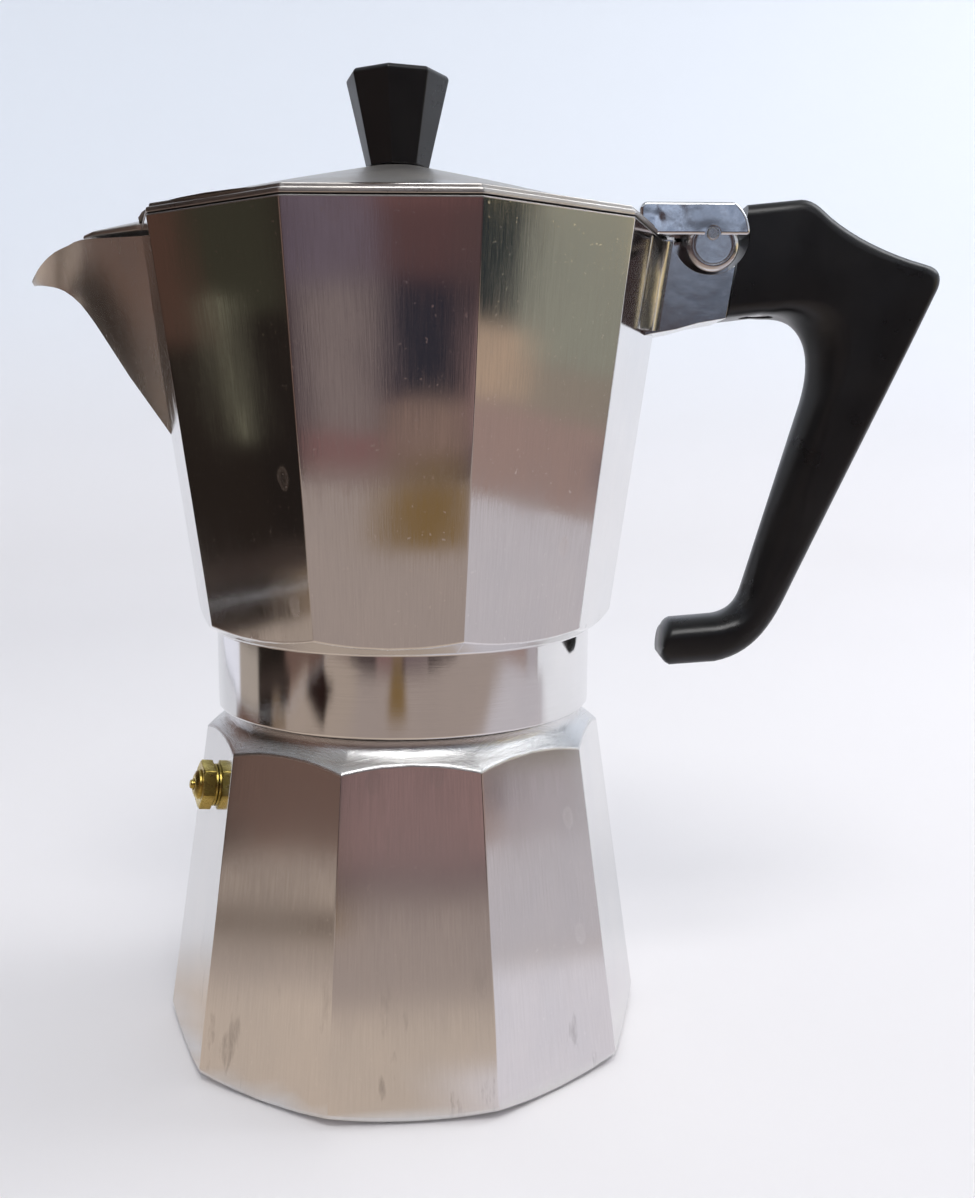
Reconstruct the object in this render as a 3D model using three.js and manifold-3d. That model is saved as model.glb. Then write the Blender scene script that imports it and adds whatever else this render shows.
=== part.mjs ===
// A stovetop moka pot: a ten-sided aluminium boiler and collector that screw together, with the
// coffee funnel, gasket and filter plate between them, a hinged lid and a black moulded handle.
// Millimetres. The origin is on the pot's axis at the boiler's underside, +Z is up, the handle
// points to +X and the spout to -X. The screw threads are plain cylinders that clear each other.
import * as THREE from "three";
import { ConvexGeometry } from "three/addons/geometries/ConvexGeometry.js";
import { mergeVertices } from "three/addons/utils/BufferGeometryUtils.js";
import Module from "manifold-3d";

const wasm = await Module();
wasm.setup();

// ---- Driving dimensions ----

const FACETS = 10;
const FACET_ANGLE = (2 * Math.PI) / FACETS;
const APOTHEM = Math.cos(FACET_ANGLE / 2); // a facet's distance from the axis, for a corner at 1
const GAP = 0.3; // between pieces that touch or slide on each other
const ROUND = 40; // sides of a large turned surface
const SMALL_ROUND = 20; // sides of a pin, tube or screw

// Boiler
const BOILER_TURN = THREE.MathUtils.degToRad(5.6); // its facets stop this far round from the collector's
const BOILER_FOOT_R = 50.5; // the flat disc that it stands on
const BOILER_CORNER = { z: 2.2, r: 55 }; // lowest point of a facet corner
const BOILER_TOP_CORNER = { z: 69.2, r: 45 }; // highest point of a facet corner
const BOILER_WALL = 2.7;
const NECK_R = 40.1; // bare neck under the collector's band
const NECK_TOP_Z = 74.9;
const THREAD_R = 39;
const LIP_Z = 86; // top of the threaded mouth
const MOUTH_R = 34.5;

// Collector
const BAND_R = 42; // round collar that screws onto the boiler
const BAND_BOTTOM_Z = 75.5;
const BAND_TOP_Z = 92.7;
const COLLECTOR_CORNER = { z: 95.7, r: 46.9 };
const RIM = { z: 177.1, r: 58.1 };
const COLLECTOR_WALL = 2.5;
const SEAT_Z = 90.4; // face that presses on the gasket
const PLATE_TOP_Z = 91.5; // roof of the filter plate's recess
const CHIMNEY_R = 6.2; // hole through the floor for the riser column

// Lid, hinge and knob
const LID_Z = 177.4;
const LID_EDGE = 1.8;
const LID_DOME = { r: 55, topR: 7.2, topZ: 192.1 };
const LID_CENTRE_X = -1.1; // the dome's middle lies a little towards the spout
const HINGE = { x: 66.1, z: 177.6 };
const HINGE_PIN_R = 1.35;
const KNUCKLE_R = 4.4;
const SADDLE_R = 7.8; // the saddle's round back
const LUG_HALF_WIDTH = 9;
const WEB_HALF_WIDTH = 3.5; // the lug's middle wall, which carries the knuckle
const SADDLE_HALF_WIDTH = 11.3;
const HANDLE_HALF_WIDTH = { top: 9.2, hook: 6.9 };
const KNOB = { bottomZ: 192.5, bottomR: 6.9, topZ: 211.7, topR: 11.3 };

// Safety valve, on the axis of the boiler facet beside the spout
const VALVE_Z = 59.1;
const VALVE_FACET = 5; // counted from the first facet past +X

// Pieces in the boiler
const CUP_RIM_Z = LIP_Z + GAP;
const CUP_FLOOR_Z = 62;
const GASKET_Z = CUP_RIM_Z + 1 + GAP;

// ---- Looks ----

function look(color, roughness, metalness) {
  return new THREE.MeshStandardMaterial({ color, roughness, metalness });
}
const polished = look(0xc4c2bf, 0.28, 1);
const satin = look(0xb5b0a8, 0.42, 1);
const brass = look(0xb08a35, 0.32, 1);
const steel = look(0xaeb2b6, 0.3, 1);
const phenolic = look(0x0b0b0c, 0.22, 0);
const rubber = look(0xd8d2c4, 0.8, 0);

// ---- Solids ----

// A closed geometry as a solid with its faces pointing out.
function solid(geometry) {
  const bare = new THREE.BufferGeometry().setAttribute("position", geometry.getAttribute("position"));
  bare.setIndex(geometry.index);
  const merged = mergeVertices(bare, 1e-4);
  const corners = [];
  for (let i = 0; i < merged.index.count; i += 3) {
    const [a, b, c] = [0, 1, 2].map((k) => merged.index.getX(i + k));
    if (a !== b && b !== c && c !== a) corners.push(a, b, c);
  }
  const made = (triVerts) =>
    new wasm.Manifold(
      new wasm.Mesh({ numProp: 3, vertProperties: merged.attributes.position.array, triVerts }),
    );
  const first = made(new Uint32Array(corners));
  return first.volume() > 0 ? first : made(new Uint32Array(corners.reverse()));
}

const join = (first, ...others) => others.reduce((sum, other) => sum.add(other), first);
const cut = (first, ...tools) => tools.reduce((rest, tool) => rest.subtract(tool), first);

// A profile of [radius, height] points turned about the Z axis.
function turned(profile, sides = ROUND) {
  const points = [...profile, profile[0]].map(([r, z]) => new THREE.Vector2(r, z));
  return solid(new THREE.LatheGeometry(points, sides).rotateX(Math.PI / 2));
}

// A many-sided tapering prism about the Z axis, with one corner at the angle turn from +X.
function frustum(sides, bottomR, bottomZ, topR, topZ, turn = 0) {
  const shape = new THREE.CylinderGeometry(topR, bottomR, topZ - bottomZ, sides);
  shape.rotateX(Math.PI / 2).rotateZ(Math.PI / 2 + turn);
  return solid(shape.translate(0, 0, (topZ + bottomZ) / 2));
}

const cylinder = (r, bottomZ, topZ, sides = SMALL_ROUND) => frustum(sides, r, bottomZ, r, topZ);

// A shape drawn in X and Z, with a thickness along Y and bevelled edges.
function plateGeometry(shape, halfWidth, bevel = 0) {
  const geometry = new THREE.ExtrudeGeometry(shape, {
    depth: 2 * (halfWidth - bevel),
    curveSegments: 6,
    bevelEnabled: bevel > 0,
    bevelThickness: bevel,
    bevelSize: bevel,
    bevelOffset: -bevel,
    bevelSegments: 2,
  });
  return geometry.rotateX(Math.PI / 2).translate(0, halfWidth - bevel, 0);
}

const plate = (shape, halfWidth, bevel) => solid(plateGeometry(shape, halfWidth, bevel));

const outline = (...points) => new THREE.Shape(points.map(([x, z]) => new THREE.Vector2(x, z)));

function block(low, high) {
  const size = high.map((value, axis) => value - low[axis]);
  const middle = high.map((value, axis) => (value + low[axis]) / 2);
  return solid(new THREE.BoxGeometry(...size).translate(...middle));
}

// A cylinder along Y, centred on a point of the XZ plane.
function crossBar(r, { x, z }, halfWidth, sides = 32) {
  return solid(new THREE.CylinderGeometry(r, r, 2 * halfWidth, sides).translate(x, 0, z));
}

const hull = (points) => solid(new ConvexGeometry(points.map((p) => new THREE.Vector3(...p))));

// A skin over closed sections with the same number of points each, capped at both ends.
function loft(sections) {
  const count = sections[0].length;
  const positions = sections.flat(2);
  const index = [];
  for (let s = 0; s + 1 < sections.length; s++) {
    for (let i = 0; i < count; i++) {
      const [a, b] = [s * count + i, s * count + ((i + 1) % count)];
      index.push(a, b, b + count, a, b + count, a + count);
    }
  }
  const last = (sections.length - 1) * count;
  for (let i = 1; i + 1 < count; i++) {
    index.push(0, i + 1, i, last, last + i, last + i + 1);
  }
  const geometry = new THREE.BufferGeometry();
  geometry.setAttribute("position", new THREE.Float32BufferAttribute(positions, 3));
  return solid(geometry.setIndex(index));
}

// A disc's worth of round holes, on rings that each hold six more than the one inside it.
function holeGrid(rings, spacing, r, bottomZ, topZ) {
  const places = [[0, 0]];
  for (let ring = 1; ring <= rings; ring++) {
    for (let i = 0; i < 6 * ring; i++) {
      const angle = (i / (6 * ring)) * 2 * Math.PI;
      places.push([ring * spacing * Math.cos(angle), ring * spacing * Math.sin(angle)]);
    }
  }
  return places.map(([x, y]) => cylinder(r, bottomZ, topZ, 6).translate([x, y, 0]));
}

const pot = new THREE.Group();

// Adds a solid to the pot, or to a group in it, as a named piece.
function piece(name, shape, material, parent = pot) {
  const { numProp, vertProperties, triVerts } = shape.getMesh();
  const geometry = new THREE.BufferGeometry();
  const corners = new THREE.InterleavedBuffer(vertProperties, numProp);
  geometry.setAttribute("position", new THREE.InterleavedBufferAttribute(corners, 3, 0));
  geometry.setIndex(new THREE.BufferAttribute(triVerts, 1));
  const mesh = new THREE.Mesh(geometry.toNonIndexed(), material);
  mesh.geometry.computeVertexNormals();
  mesh.name = name;
  parent.add(mesh);
  return mesh;
}

// Corner radius of a tapering facet shell at a height, from two of its corners.
const cornerAt = (low, high, z) => low.r + ((z - low.z) * (high.r - low.r)) / (high.z - low.z);
const boilerCorner = (z) => cornerAt(BOILER_CORNER, BOILER_TOP_CORNER, z);
const collectorCorner = (z) => cornerAt(COLLECTOR_CORNER, RIM, z);

// ---- Safety valve ----

// The valve's own group: its origin is on the facet, and +Z points straight out of the metal.
const valveAngle = BOILER_TURN + (VALVE_FACET + 0.5) * FACET_ANGLE;
const facetLean = Math.atan(
  ((BOILER_CORNER.r - BOILER_TOP_CORNER.r) * APOTHEM) / (BOILER_TOP_CORNER.z - BOILER_CORNER.z),
);
const valve = new THREE.Group();
const valveReach = boilerCorner(VALVE_Z) * APOTHEM;
valve.position.set(valveReach * Math.cos(valveAngle), valveReach * Math.sin(valveAngle), VALVE_Z);
valve.rotation.set(0, Math.PI / 2 - facetLean, valveAngle, "ZYX");
valve.updateMatrixWorld(true);
pot.add(valve);

const VALVE = {
  innerZ: -7.2, // the valve's end inside the boiler
  shankR: 3.7,
  hexR: 5.4, // over its corners
  hexTurn: THREE.MathUtils.degToRad(77),
  hexBottomZ: 0.7,
  hexTopZ: 3.3,
  noseR: 3.2,
  noseZ: 4.6,
  boreR: 2.7,
  boreTopZ: 2.4,
  pinR: 1,
  pinZ: 5.4, // the plunger's tip, where a finger can lift it
};

function valveBody() {
  const { innerZ, shankR, hexR, hexTurn, hexBottomZ, hexTopZ } = VALVE;
  const { noseR, noseZ, boreR, boreTopZ, pinR } = VALVE;
  const hexagon = frustum(6, hexR, hexBottomZ, hexR, hexTopZ, hexTurn);
  const chamfer = turned([
    [0, 0], [hexR - 0.4, 0], [hexR + 0.2, hexBottomZ + 0.5], [hexR + 0.2, hexTopZ - 0.4],
    [hexR - 0.6, hexTopZ + 0.1], [0, hexTopZ + 0.1],
  ], SMALL_ROUND);
  const nose = turned([
    [0, hexTopZ - 1], [noseR, hexTopZ - 1], [noseR, noseZ - 1], [noseR - 0.4, noseZ - 0.3],
    [noseR - 1.3, noseZ], [0, noseZ],
  ], SMALL_ROUND);
  const shank = cylinder(shankR, innerZ, hexBottomZ + 0.3);
  const tipHoleR = pinR + GAP;
  const bore = turned([
    [0, innerZ - 1], [boreR, innerZ - 1], [boreR, boreTopZ], [tipHoleR, boreTopZ],
    [tipHoleR, noseZ + 1], [0, noseZ + 1],
  ], SMALL_ROUND);
  return cut(join(hexagon.intersect(chamfer), nose, shank), bore);
}

function valvePlunger() {
  const { innerZ, pinR, pinZ } = VALVE;
  const headZ = innerZ + 1.6;
  const headR = 2.3;
  return turned([
    [0, headZ], [headR, headZ], [headR, headZ + 1.2], [pinR, headZ + 1.2], [pinR, pinZ - 0.4],
    [pinR - 0.4, pinZ], [0, pinZ],
  ], SMALL_ROUND);
}

// The coil stands between the plunger's head and the top of the valve's bore.
function valveSpring() {
  const [turns, stepsPerTurn, coilR, wireR] = [5, 8, 1.85, 0.28];
  const bottomZ = VALVE.innerZ + 3.15;
  const topZ = VALVE.boreTopZ - 0.35;
  const steps = turns * stepsPerTurn;
  const path = new THREE.CatmullRomCurve3(
    Array.from({ length: steps + 1 }, (_, i) => {
      const angle = (i / stepsPerTurn) * 2 * Math.PI;
      const z = THREE.MathUtils.lerp(bottomZ + wireR, topZ - wireR, i / steps);
      return new THREE.Vector3(coilR * Math.cos(angle), coilR * Math.sin(angle), z);
    }),
  );
  const wire = new THREE.Shape().absarc(0, 0, wireR, 0, 2 * Math.PI);
  const settings = { steps, curveSegments: 3, extrudePath: path, bevelEnabled: false };
  return solid(new THREE.ExtrudeGeometry(wire, settings));
}

const ring = (innerR, outerR, bottomZ, topZ, sides = SMALL_ROUND) =>
  turned([[innerR, bottomZ], [outerR, bottomZ], [outerR, topZ], [innerR, topZ]], sides);

piece("valve_body", valveBody(), brass, valve);
piece("valve_washer", ring(VALVE.shankR + GAP, 4.6, 0.15, 0.55), brass, valve);
piece("valve_plunger", valvePlunger(), brass, valve);
piece("valve_spring", valveSpring(), steel, valve);
piece("valve_retainer", ring(1.2, 2.4, VALVE.innerZ, VALVE.innerZ + 1.3), brass, valve);

// A hole through the boiler wall for the valve's shank, in the pot's own frame.
function valveHole() {
  const r = VALVE.shankR + GAP;
  const tool = new THREE.CylinderGeometry(r, r, 16, SMALL_ROUND).rotateX(Math.PI / 2);
  return solid(tool.applyMatrix4(valve.matrixWorld));
}

// ---- Boiler ----

function boiler() {
  const facets = frustum(FACETS, boilerCorner(0), 0, boilerCorner(LIP_Z), LIP_Z, BOILER_TURN);
  // Turned faces that trim the facets: the foot's edge below and the shoulder above.
  const wide = 60; // outside every facet
  const [footSlope, shoulderSlope] = [0.49, 0.7];
  const coneR = 42.2; // where the shoulder's cone gives way to the hollow round the neck
  const shoulderAt = (r) => BOILER_TOP_CORNER.z - shoulderSlope * (r - BOILER_TOP_CORNER.r);
  const trim = turned([
    [0, 0], [BOILER_FOOT_R, 0], [wide, (wide - BOILER_FOOT_R) * footSlope], [wide, shoulderAt(wide)],
    [coneR, shoulderAt(coneR)], [40.9, 72.3], [NECK_R, 73.7], [NECK_R, NECK_TOP_Z], [0, NECK_TOP_Z],
  ]);
  const mouth = turned([
    [0, 70], [NECK_R, 70], [NECK_R, NECK_TOP_Z], [THREAD_R, NECK_TOP_Z + 0.5],
    [THREAD_R, LIP_Z - 0.6], [THREAD_R - 0.6, LIP_Z], [0, LIP_Z],
  ]);
  const innerR = (height) => boilerCorner(height) * APOTHEM - BOILER_WALL;
  const floorZ = 3.2;
  const inside = turned([
    [0, floorZ], [innerR(floorZ) - 3, floorZ], [innerR(6), 6], [innerR(64), 64],
    [MOUTH_R, 72.5], [MOUTH_R, LIP_Z + 1], [0, LIP_Z + 1],
  ]);
  return cut(join(facets.intersect(trim), mouth), inside, valveHole());
}
piece("boiler", boiler(), polished);

// ---- Funnel ----

const STEM = { r: 4.3, boreR: 3.6, footR: 4.9, bottomZ: 7, topZ: 55 };

// A bowl with a flat rim, a sloping floor and a sleeve that holds the stem.
function funnelCup() {
  const [rimZ, floorZ, neckR, sleeveZ] = [CUP_RIM_Z, CUP_FLOOR_Z, STEM.r + GAP, 50];
  return turned([
    [33.6, rimZ], [38.3, rimZ], [38.3, rimZ + 1], [32.5, rimZ + 1], [31.2, floorZ + 1], [30, floorZ],
    [neckR + 2, 57.6], [neckR, 55.6], [neckR, sleeveZ], [neckR + 1, sleeveZ], [neckR + 1, 55.2],
    [neckR + 2.6, 56.6], [30.8, floorZ - 1.2], [32.3, floorZ + 0.6],
  ]);
}

function funnelStem() {
  const { r, boreR, footR, bottomZ, topZ } = STEM;
  const profile = [[boreR, bottomZ], [footR, bottomZ], [r, bottomZ + 2], [r, topZ], [boreR, topZ]];
  return turned(profile, SMALL_ROUND);
}

function funnelScreen() {
  const bottomZ = CUP_FLOOR_Z + 0.9;
  const topZ = bottomZ + 0.8;
  return cut(cylinder(30.7, bottomZ, topZ, ROUND), ...holeGrid(2, 10.5, 1.6, bottomZ - 1, topZ + 1));
}

piece("funnel_cup", funnelCup(), satin);
piece("funnel_stem", funnelStem(), satin);
piece("funnel_screen", funnelScreen(), satin);

// ---- Gasket and filter plate ----

const PLATE_R = 32.5;

function gasket() {
  const [innerR, outerR, corner, topZ] = [29.2, 37.6, 0.4, GASKET_Z + 2.5];
  return turned([
    [innerR, GASKET_Z], [outerR - corner, GASKET_Z], [outerR, GASKET_Z + corner],
    [outerR, topZ - corner], [outerR - corner, topZ], [innerR, topZ],
  ]);
}
piece("gasket", gasket(), rubber);

function filterPlate() {
  const dish = turned([
    [0, SEAT_Z + 0.9], [25, SEAT_Z + 0.9], [27, SEAT_Z], [PLATE_R, SEAT_Z], [PLATE_R, SEAT_Z + 0.8],
    [27.3, SEAT_Z + 0.8], [25.3, SEAT_Z + 1.7], [0, SEAT_Z + 1.7],
  ]);
  return cut(dish, ...holeGrid(2, 9.5, 1.6, SEAT_Z - 1, SEAT_Z + 3));
}
piece("filter_plate", filterPlate(), satin);

// ---- Collector, with its spout and the lug that carries the lid and the handle ----

// The beak-like spout at points along its length: how far out, keel and lip heights, half width.
const SPOUT = [
  { x: -43, keel: 118.6, lip: RIM.z - 0.9, width: 15.6 },
  { x: -51.9, keel: 132.8, lip: RIM.z - 0.9, width: 13.1 },
  { x: -61.2, keel: 147.7, lip: RIM.z - 0.9, width: 10 },
  { x: -68.2, keel: 158.9, lip: RIM.z - 1, width: 7.6 },
  { x: -71.4, keel: 163.2, lip: 175, width: 6.4 },
  { x: -74.8, keel: 166, lip: 174, width: 5.1 },
  { x: -77.4, keel: 167, lip: 172.4, width: 4 },
  { x: -79.7, keel: 167.3, lip: 170.2, width: 2.8 },
  { x: -81.6, keel: 167.2, lip: 168, width: 1.5 },
];
const SPOUT_WALL = 1.7;

// A section of the spout: up one side from the keel, over the lip and down the other side.
function spoutSection({ x, keel, lip, width }) {
  const steps = [0, 0.12, 0.3, 0.55, 0.8, 1];
  const side = steps.map((s) => [x, width * s ** 0.95, keel + (lip - keel) * s]);
  const mirrored = side.slice(1).map(([px, y, z]) => [px, -y, z]).reverse();
  return [...side, ...mirrored];
}

function spoutChannel() {
  const open = 12; // the channel's walls carry on above the lip, so it is open at the top
  const sections = SPOUT.map(({ x, keel, lip, width }) => {
    const depth = Math.max(lip - keel, 0.1);
    const floor = keel + Math.min(2.6, 0.5 * depth + 0.3);
    const inner = Math.max(width - SPOUT_WALL, 0.5);
    const wider = inner * (1 + open / Math.max(lip - floor, 8));
    return spoutSection({ x, keel: floor, lip: Math.max(lip, floor + 1) + open, width: wider });
  });
  const tip = sections.at(-1).map(([x, y, z]) => [x - 4, y, z]);
  const root = sections[0].map(([x, y, z]) => [x + 8, y, z]);
  return loft([root, ...sections, tip]);
}

// The line where the lug's end meets the handle.
const jointX = (z) => 69.9 + 0.165 * (z - 160.5);

const THROUGH = 20; // half length of a bar that cuts right through the lug and the saddle
const swingSpace = () => crossBar(SADDLE_R + 0.35, HINGE, THROUGH);

// The lug: a solid boss on the +X corner, hollowed round the hinge so that the saddle can swing.
function lug() {
  const { x, z } = HINGE;
  const boss = plate(outline(
    [50, 155.6], [54, 157], [59, 157.9], [64, 159.3], [jointX(160.3) - 0.2, 160.3],
    [jointX(178) - 0.2, 178], [x, 176.6], [50, 176.6],
  ), LUG_HALF_WIDTH, 0.8);
  const web = plate(outline(
    [x, z], [x - 9.5, z - 1.2], [x - 12, z - 9], [x + 4, z - 9.8], [x + 5.7, z - 2.4],
  ), WEB_HALF_WIDTH);
  const knuckle = crossBar(KNUCKLE_R, HINGE, LUG_HALF_WIDTH);
  const pinHole = crossBar(HINGE_PIN_R + GAP, HINGE, THROUGH, SMALL_ROUND);
  return cut(join(cut(boss, swingSpace()), web, knuckle, tongue()), pinHole);
}

const HANDLE_SCREW_X = 78;
const TONGUE = { endX: 87, halfWidth: 3.2, bottomZ: 165.6, topZ: 174.6 };

// The tongue that the handle slides over, with a blind hole for the handle's screw.
function tongue() {
  const { endX, halfWidth, bottomZ, topZ } = TONGUE;
  const bar = block([jointX(bottomZ) - 3, -halfWidth, bottomZ], [endX, halfWidth, topZ]);
  return cut(bar, cylinder(2, bottomZ - 1, topZ - 1.5).translate([HANDLE_SCREW_X, 0, 0]));
}

// The facets above, and the round collar that screws onto the boiler below.
function collectorOutside() {
  const facets = frustum(FACETS, collectorCorner(BAND_TOP_Z), BAND_TOP_Z, RIM.r, RIM.z);
  const wide = 70; // outside every facet
  const slope = (COLLECTOR_CORNER.z - BAND_TOP_Z) / (COLLECTOR_CORNER.r - BAND_R);
  const trim = turned([
    [0, BAND_BOTTOM_Z], [BAND_R, BAND_BOTTOM_Z], [BAND_R, BAND_TOP_Z],
    [wide, BAND_TOP_Z + slope * (wide - BAND_R)], [wide, RIM.z + 1], [0, RIM.z + 1],
  ]);
  const chamfer = 0.7;
  const band = turned([
    [0, BAND_BOTTOM_Z], [BAND_R - chamfer, BAND_BOTTOM_Z], [BAND_R, BAND_BOTTOM_Z + chamfer],
    [BAND_R, BAND_TOP_Z + 1.5], [0, BAND_TOP_Z + 1.5],
  ]);
  return join(facets.intersect(trim), band);
}

// The jug's hollow, down to a floor that rises to the chimney.
function jugHollow() {
  const wall = COLLECTOR_WALL / APOTHEM;
  const [lowZ, highZ] = [90, 190];
  const shaft = frustum(FACETS, collectorCorner(lowZ) - wall, lowZ, collectorCorner(highZ) - wall, highZ);
  return shaft.intersect(turned([[0, 102], [9, 102], [30, 95.8], [60, 94.6], [60, highZ], [0, highZ]]));
}

// The hollow in the collar: the thread's bore, the gasket's seat, the plate's recess and the cone
// that leads up to the chimney.
function collarHollow() {
  const boreR = THREAD_R + GAP + 0.1;
  const seatR = 37.9;
  const plateR = PLATE_R + GAP;
  const coneR = 27.6;
  return turned([
    [0, 70], [boreR, 70], [boreR, SEAT_Z - 1.6], [seatR, SEAT_Z - 1.6], [seatR, SEAT_Z],
    [plateR, SEAT_Z], [plateR, PLATE_TOP_Z], [coneR, PLATE_TOP_Z], [coneR, 92.8],
    [CHIMNEY_R, 98.8], [CHIMNEY_R, 110], [0, 110],
  ]);
}

function collector() {
  const outside = join(collectorOutside(), loft(SPOUT.map(spoutSection)), lug());
  return cut(outside, jugHollow(), collarHollow(), spoutChannel());
}
piece("collector", collector(), polished);

// ---- Riser column ----

// A tapering tube with a round cap, and a slot across it under the cap where the coffee comes out.
function riserColumn() {
  const [spigotR, flangeR, bottomZ, flangeZ, topZ] = [CHIMNEY_R - GAP, 9, 96.5, 102.3, 154];
  const body = turned([
    [0, bottomZ], [spigotR, bottomZ], [spigotR, flangeZ], [flangeR, flangeZ], [flangeR, flangeZ + 1],
    [7.6, flangeZ + 2.4], [5.6, topZ - 6], [5.6, topZ - 2], [4, topZ - 0.4], [0, topZ],
  ], 24);
  const channel = turned([[0, 90], [4.4, 90], [3.8, topZ - 4], [0, topZ - 3]], 24);
  return cut(body, channel, block([-10, -1.8, topZ - 9], [10, 1.8, topZ - 4.6]));
}
piece("riser_column", riserColumn(), satin);

// ---- Handle ----

function handleOutline() {
  const shape = new THREE.Shape();
  shape.moveTo(jointX(160.6) + 0.2, 160.6);
  shape.lineTo(jointX(184.2) + 0.2, 184.2);
  shape.lineTo(85.4, 185.4);
  shape.quadraticCurveTo(88, 185.4, 90.5, 183);
  shape.bezierCurveTo(95, 178.9, 103, 174.6, 112.9, 172); // the top sweeps down to the heel
  shape.quadraticCurveTo(117, 171, 115.6, 167);
  shape.lineTo(86, 99.6);
  shape.bezierCurveTo(82.6, 91.9, 78.6, 86.3, 70.5, 84.6); // round the hook at the foot
  shape.lineTo(60.3, 83.8);
  shape.lineTo(58.5, 85.4);
  shape.lineTo(59.3, 93.2);
  shape.lineTo(60.9, 94.9);
  shape.lineTo(70.4, 95.8);
  shape.quadraticCurveTo(74.2, 96.4, 75.7, 100.6);
  shape.lineTo(87.3, 139.9);
  shape.bezierCurveTo(91.5, 153.6, 87.5, 161.5, 77.7, 161.5); // the crook over the fingers
  return shape;
}

function handle() {
  const { top, hook } = HANDLE_HALF_WIDTH;
  const grip = plateGeometry(handleOutline(), top, 2.2);
  const corners = grip.getAttribute("position");
  for (let i = 0; i < corners.count; i++) {
    // The sides draw in from the lug's width at the top to a slimmer hook.
    const share = THREE.MathUtils.smoothstep(corners.getZ(i), 95, 160);
    corners.setY(i, corners.getY(i) * THREE.MathUtils.lerp(hook / top, 1, share));
  }
  const slot = block(
    [60, -TONGUE.halfWidth - GAP, TONGUE.bottomZ - GAP],
    [TONGUE.endX + GAP, TONGUE.halfWidth + GAP, TONGUE.topZ + GAP],
  );
  const [headHoleR, shankHoleR, shelfZ] = [3.7, 2, 163.6];
  const screwHole = turned([
    [0, 150], [headHoleR, 150], [headHoleR, shelfZ], [shankHoleR, shelfZ], [shankHoleR, 168], [0, 168],
  ], SMALL_ROUND).translate([HANDLE_SCREW_X, 0, 0]);
  return cut(solid(grip), slot, screwHole, swingSpace());
}
piece("handle", handle(), phenolic);

// A pan-head screw that stands on its head's outer face, with a slot across the head.
function screw(headR, headHeight, shankR, length) {
  const edge = 0.5;
  const body = turned([
    [0, 0], [headR - edge, 0], [headR, edge], [headR, headHeight], [shankR, headHeight],
    [shankR, length - edge], [shankR - edge, length], [0, length],
  ], SMALL_ROUND);
  return cut(body, block([-headR - 1, -0.4, -1], [headR + 1, 0.4, 0.7]));
}
piece("handle_screw", screw(3.3, 1.6, 1.7, 10.5), steel).position.set(HANDLE_SCREW_X, 0, 161.7);

// ---- Lid ----

const SKIN = 1.6;

function lidOuter() {
  const edge = frustum(FACETS, RIM.r, LID_Z, RIM.r - 0.3, LID_Z + LID_EDGE);
  const dome = turned([
    [0, LID_Z + 0.5], [LID_DOME.r - 1.6, LID_Z + 0.5], [LID_DOME.r - 1.6, LID_Z + LID_EDGE + 0.1],
    [LID_DOME.topR, LID_DOME.topZ], [0, LID_DOME.topZ],
  ]).translate([LID_CENTRE_X, 0, 0]);
  return join(edge, dome);
}

// A ridged beak that covers the spout.
function lidBeak() {
  const ridge = [[-50, 0, 182], [-58, 0, 181.2], [-68.6, 0, 178.7]];
  const corners = [[-50, 13.6, 0, 1.5], [-55, 12.4, 0, 1.3], [-66, 7, -0.5, 0.5], [-69.3, 3.2, -0.6, 0.1]];
  const sides = corners.flatMap(([x, y, low, high]) =>
    [LID_Z + low, LID_Z + high].flatMap((z) => [[x, y, z], [x, -y, z]]));
  return hull([...sides, ...ridge]);
}

const RIVET_PLACES = { x: 52.3, y: 4.5 };
const rivetHole = (r) => [-1, 1].map((side) =>
  cylinder(r, 170, 182.4, 12).translate([RIVET_PLACES.x, side * RIVET_PLACES.y, 0]));

function lid() {
  const hollow = turned([
    [0, 170], [51, 170], [51, LID_Z + LID_EDGE - SKIN + 0.7],
    [LID_DOME.topR, LID_DOME.topZ - SKIN], [0, LID_DOME.topZ - SKIN],
  ]).translate([LID_CENTRE_X, 0, 0]);
  const rimSide = block([50.6, -30, 160], [80, 30, 200]);
  const knobHole = cylinder(2.1, 180, 200).translate([LID_CENTRE_X, 0, 0]);
  // Near the hinge the lid stays solid, so that the rivets have metal round them.
  return cut(join(lidOuter(), lidBeak()), cut(hollow, rimSide), knobHole, ...rivetHole(1.5));
}
piece("lid", lid(), satin);

// The space that the lid's edge and its dome take, with a gap round them.
function lidSpace() {
  const { r, topR, topZ } = LID_DOME;
  const edgeR = RIM.r + GAP / APOTHEM;
  const edgeTop = LID_Z + LID_EDGE + GAP;
  const dome = turned([[0, 170], [r, 170], [r, edgeTop - 0.1], [topR, topZ + GAP], [0, topZ + GAP]]);
  return join(frustum(FACETS, edgeR, 165, edgeR, edgeTop), dome.translate([LID_CENTRE_X, 0, 0]));
}

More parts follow.
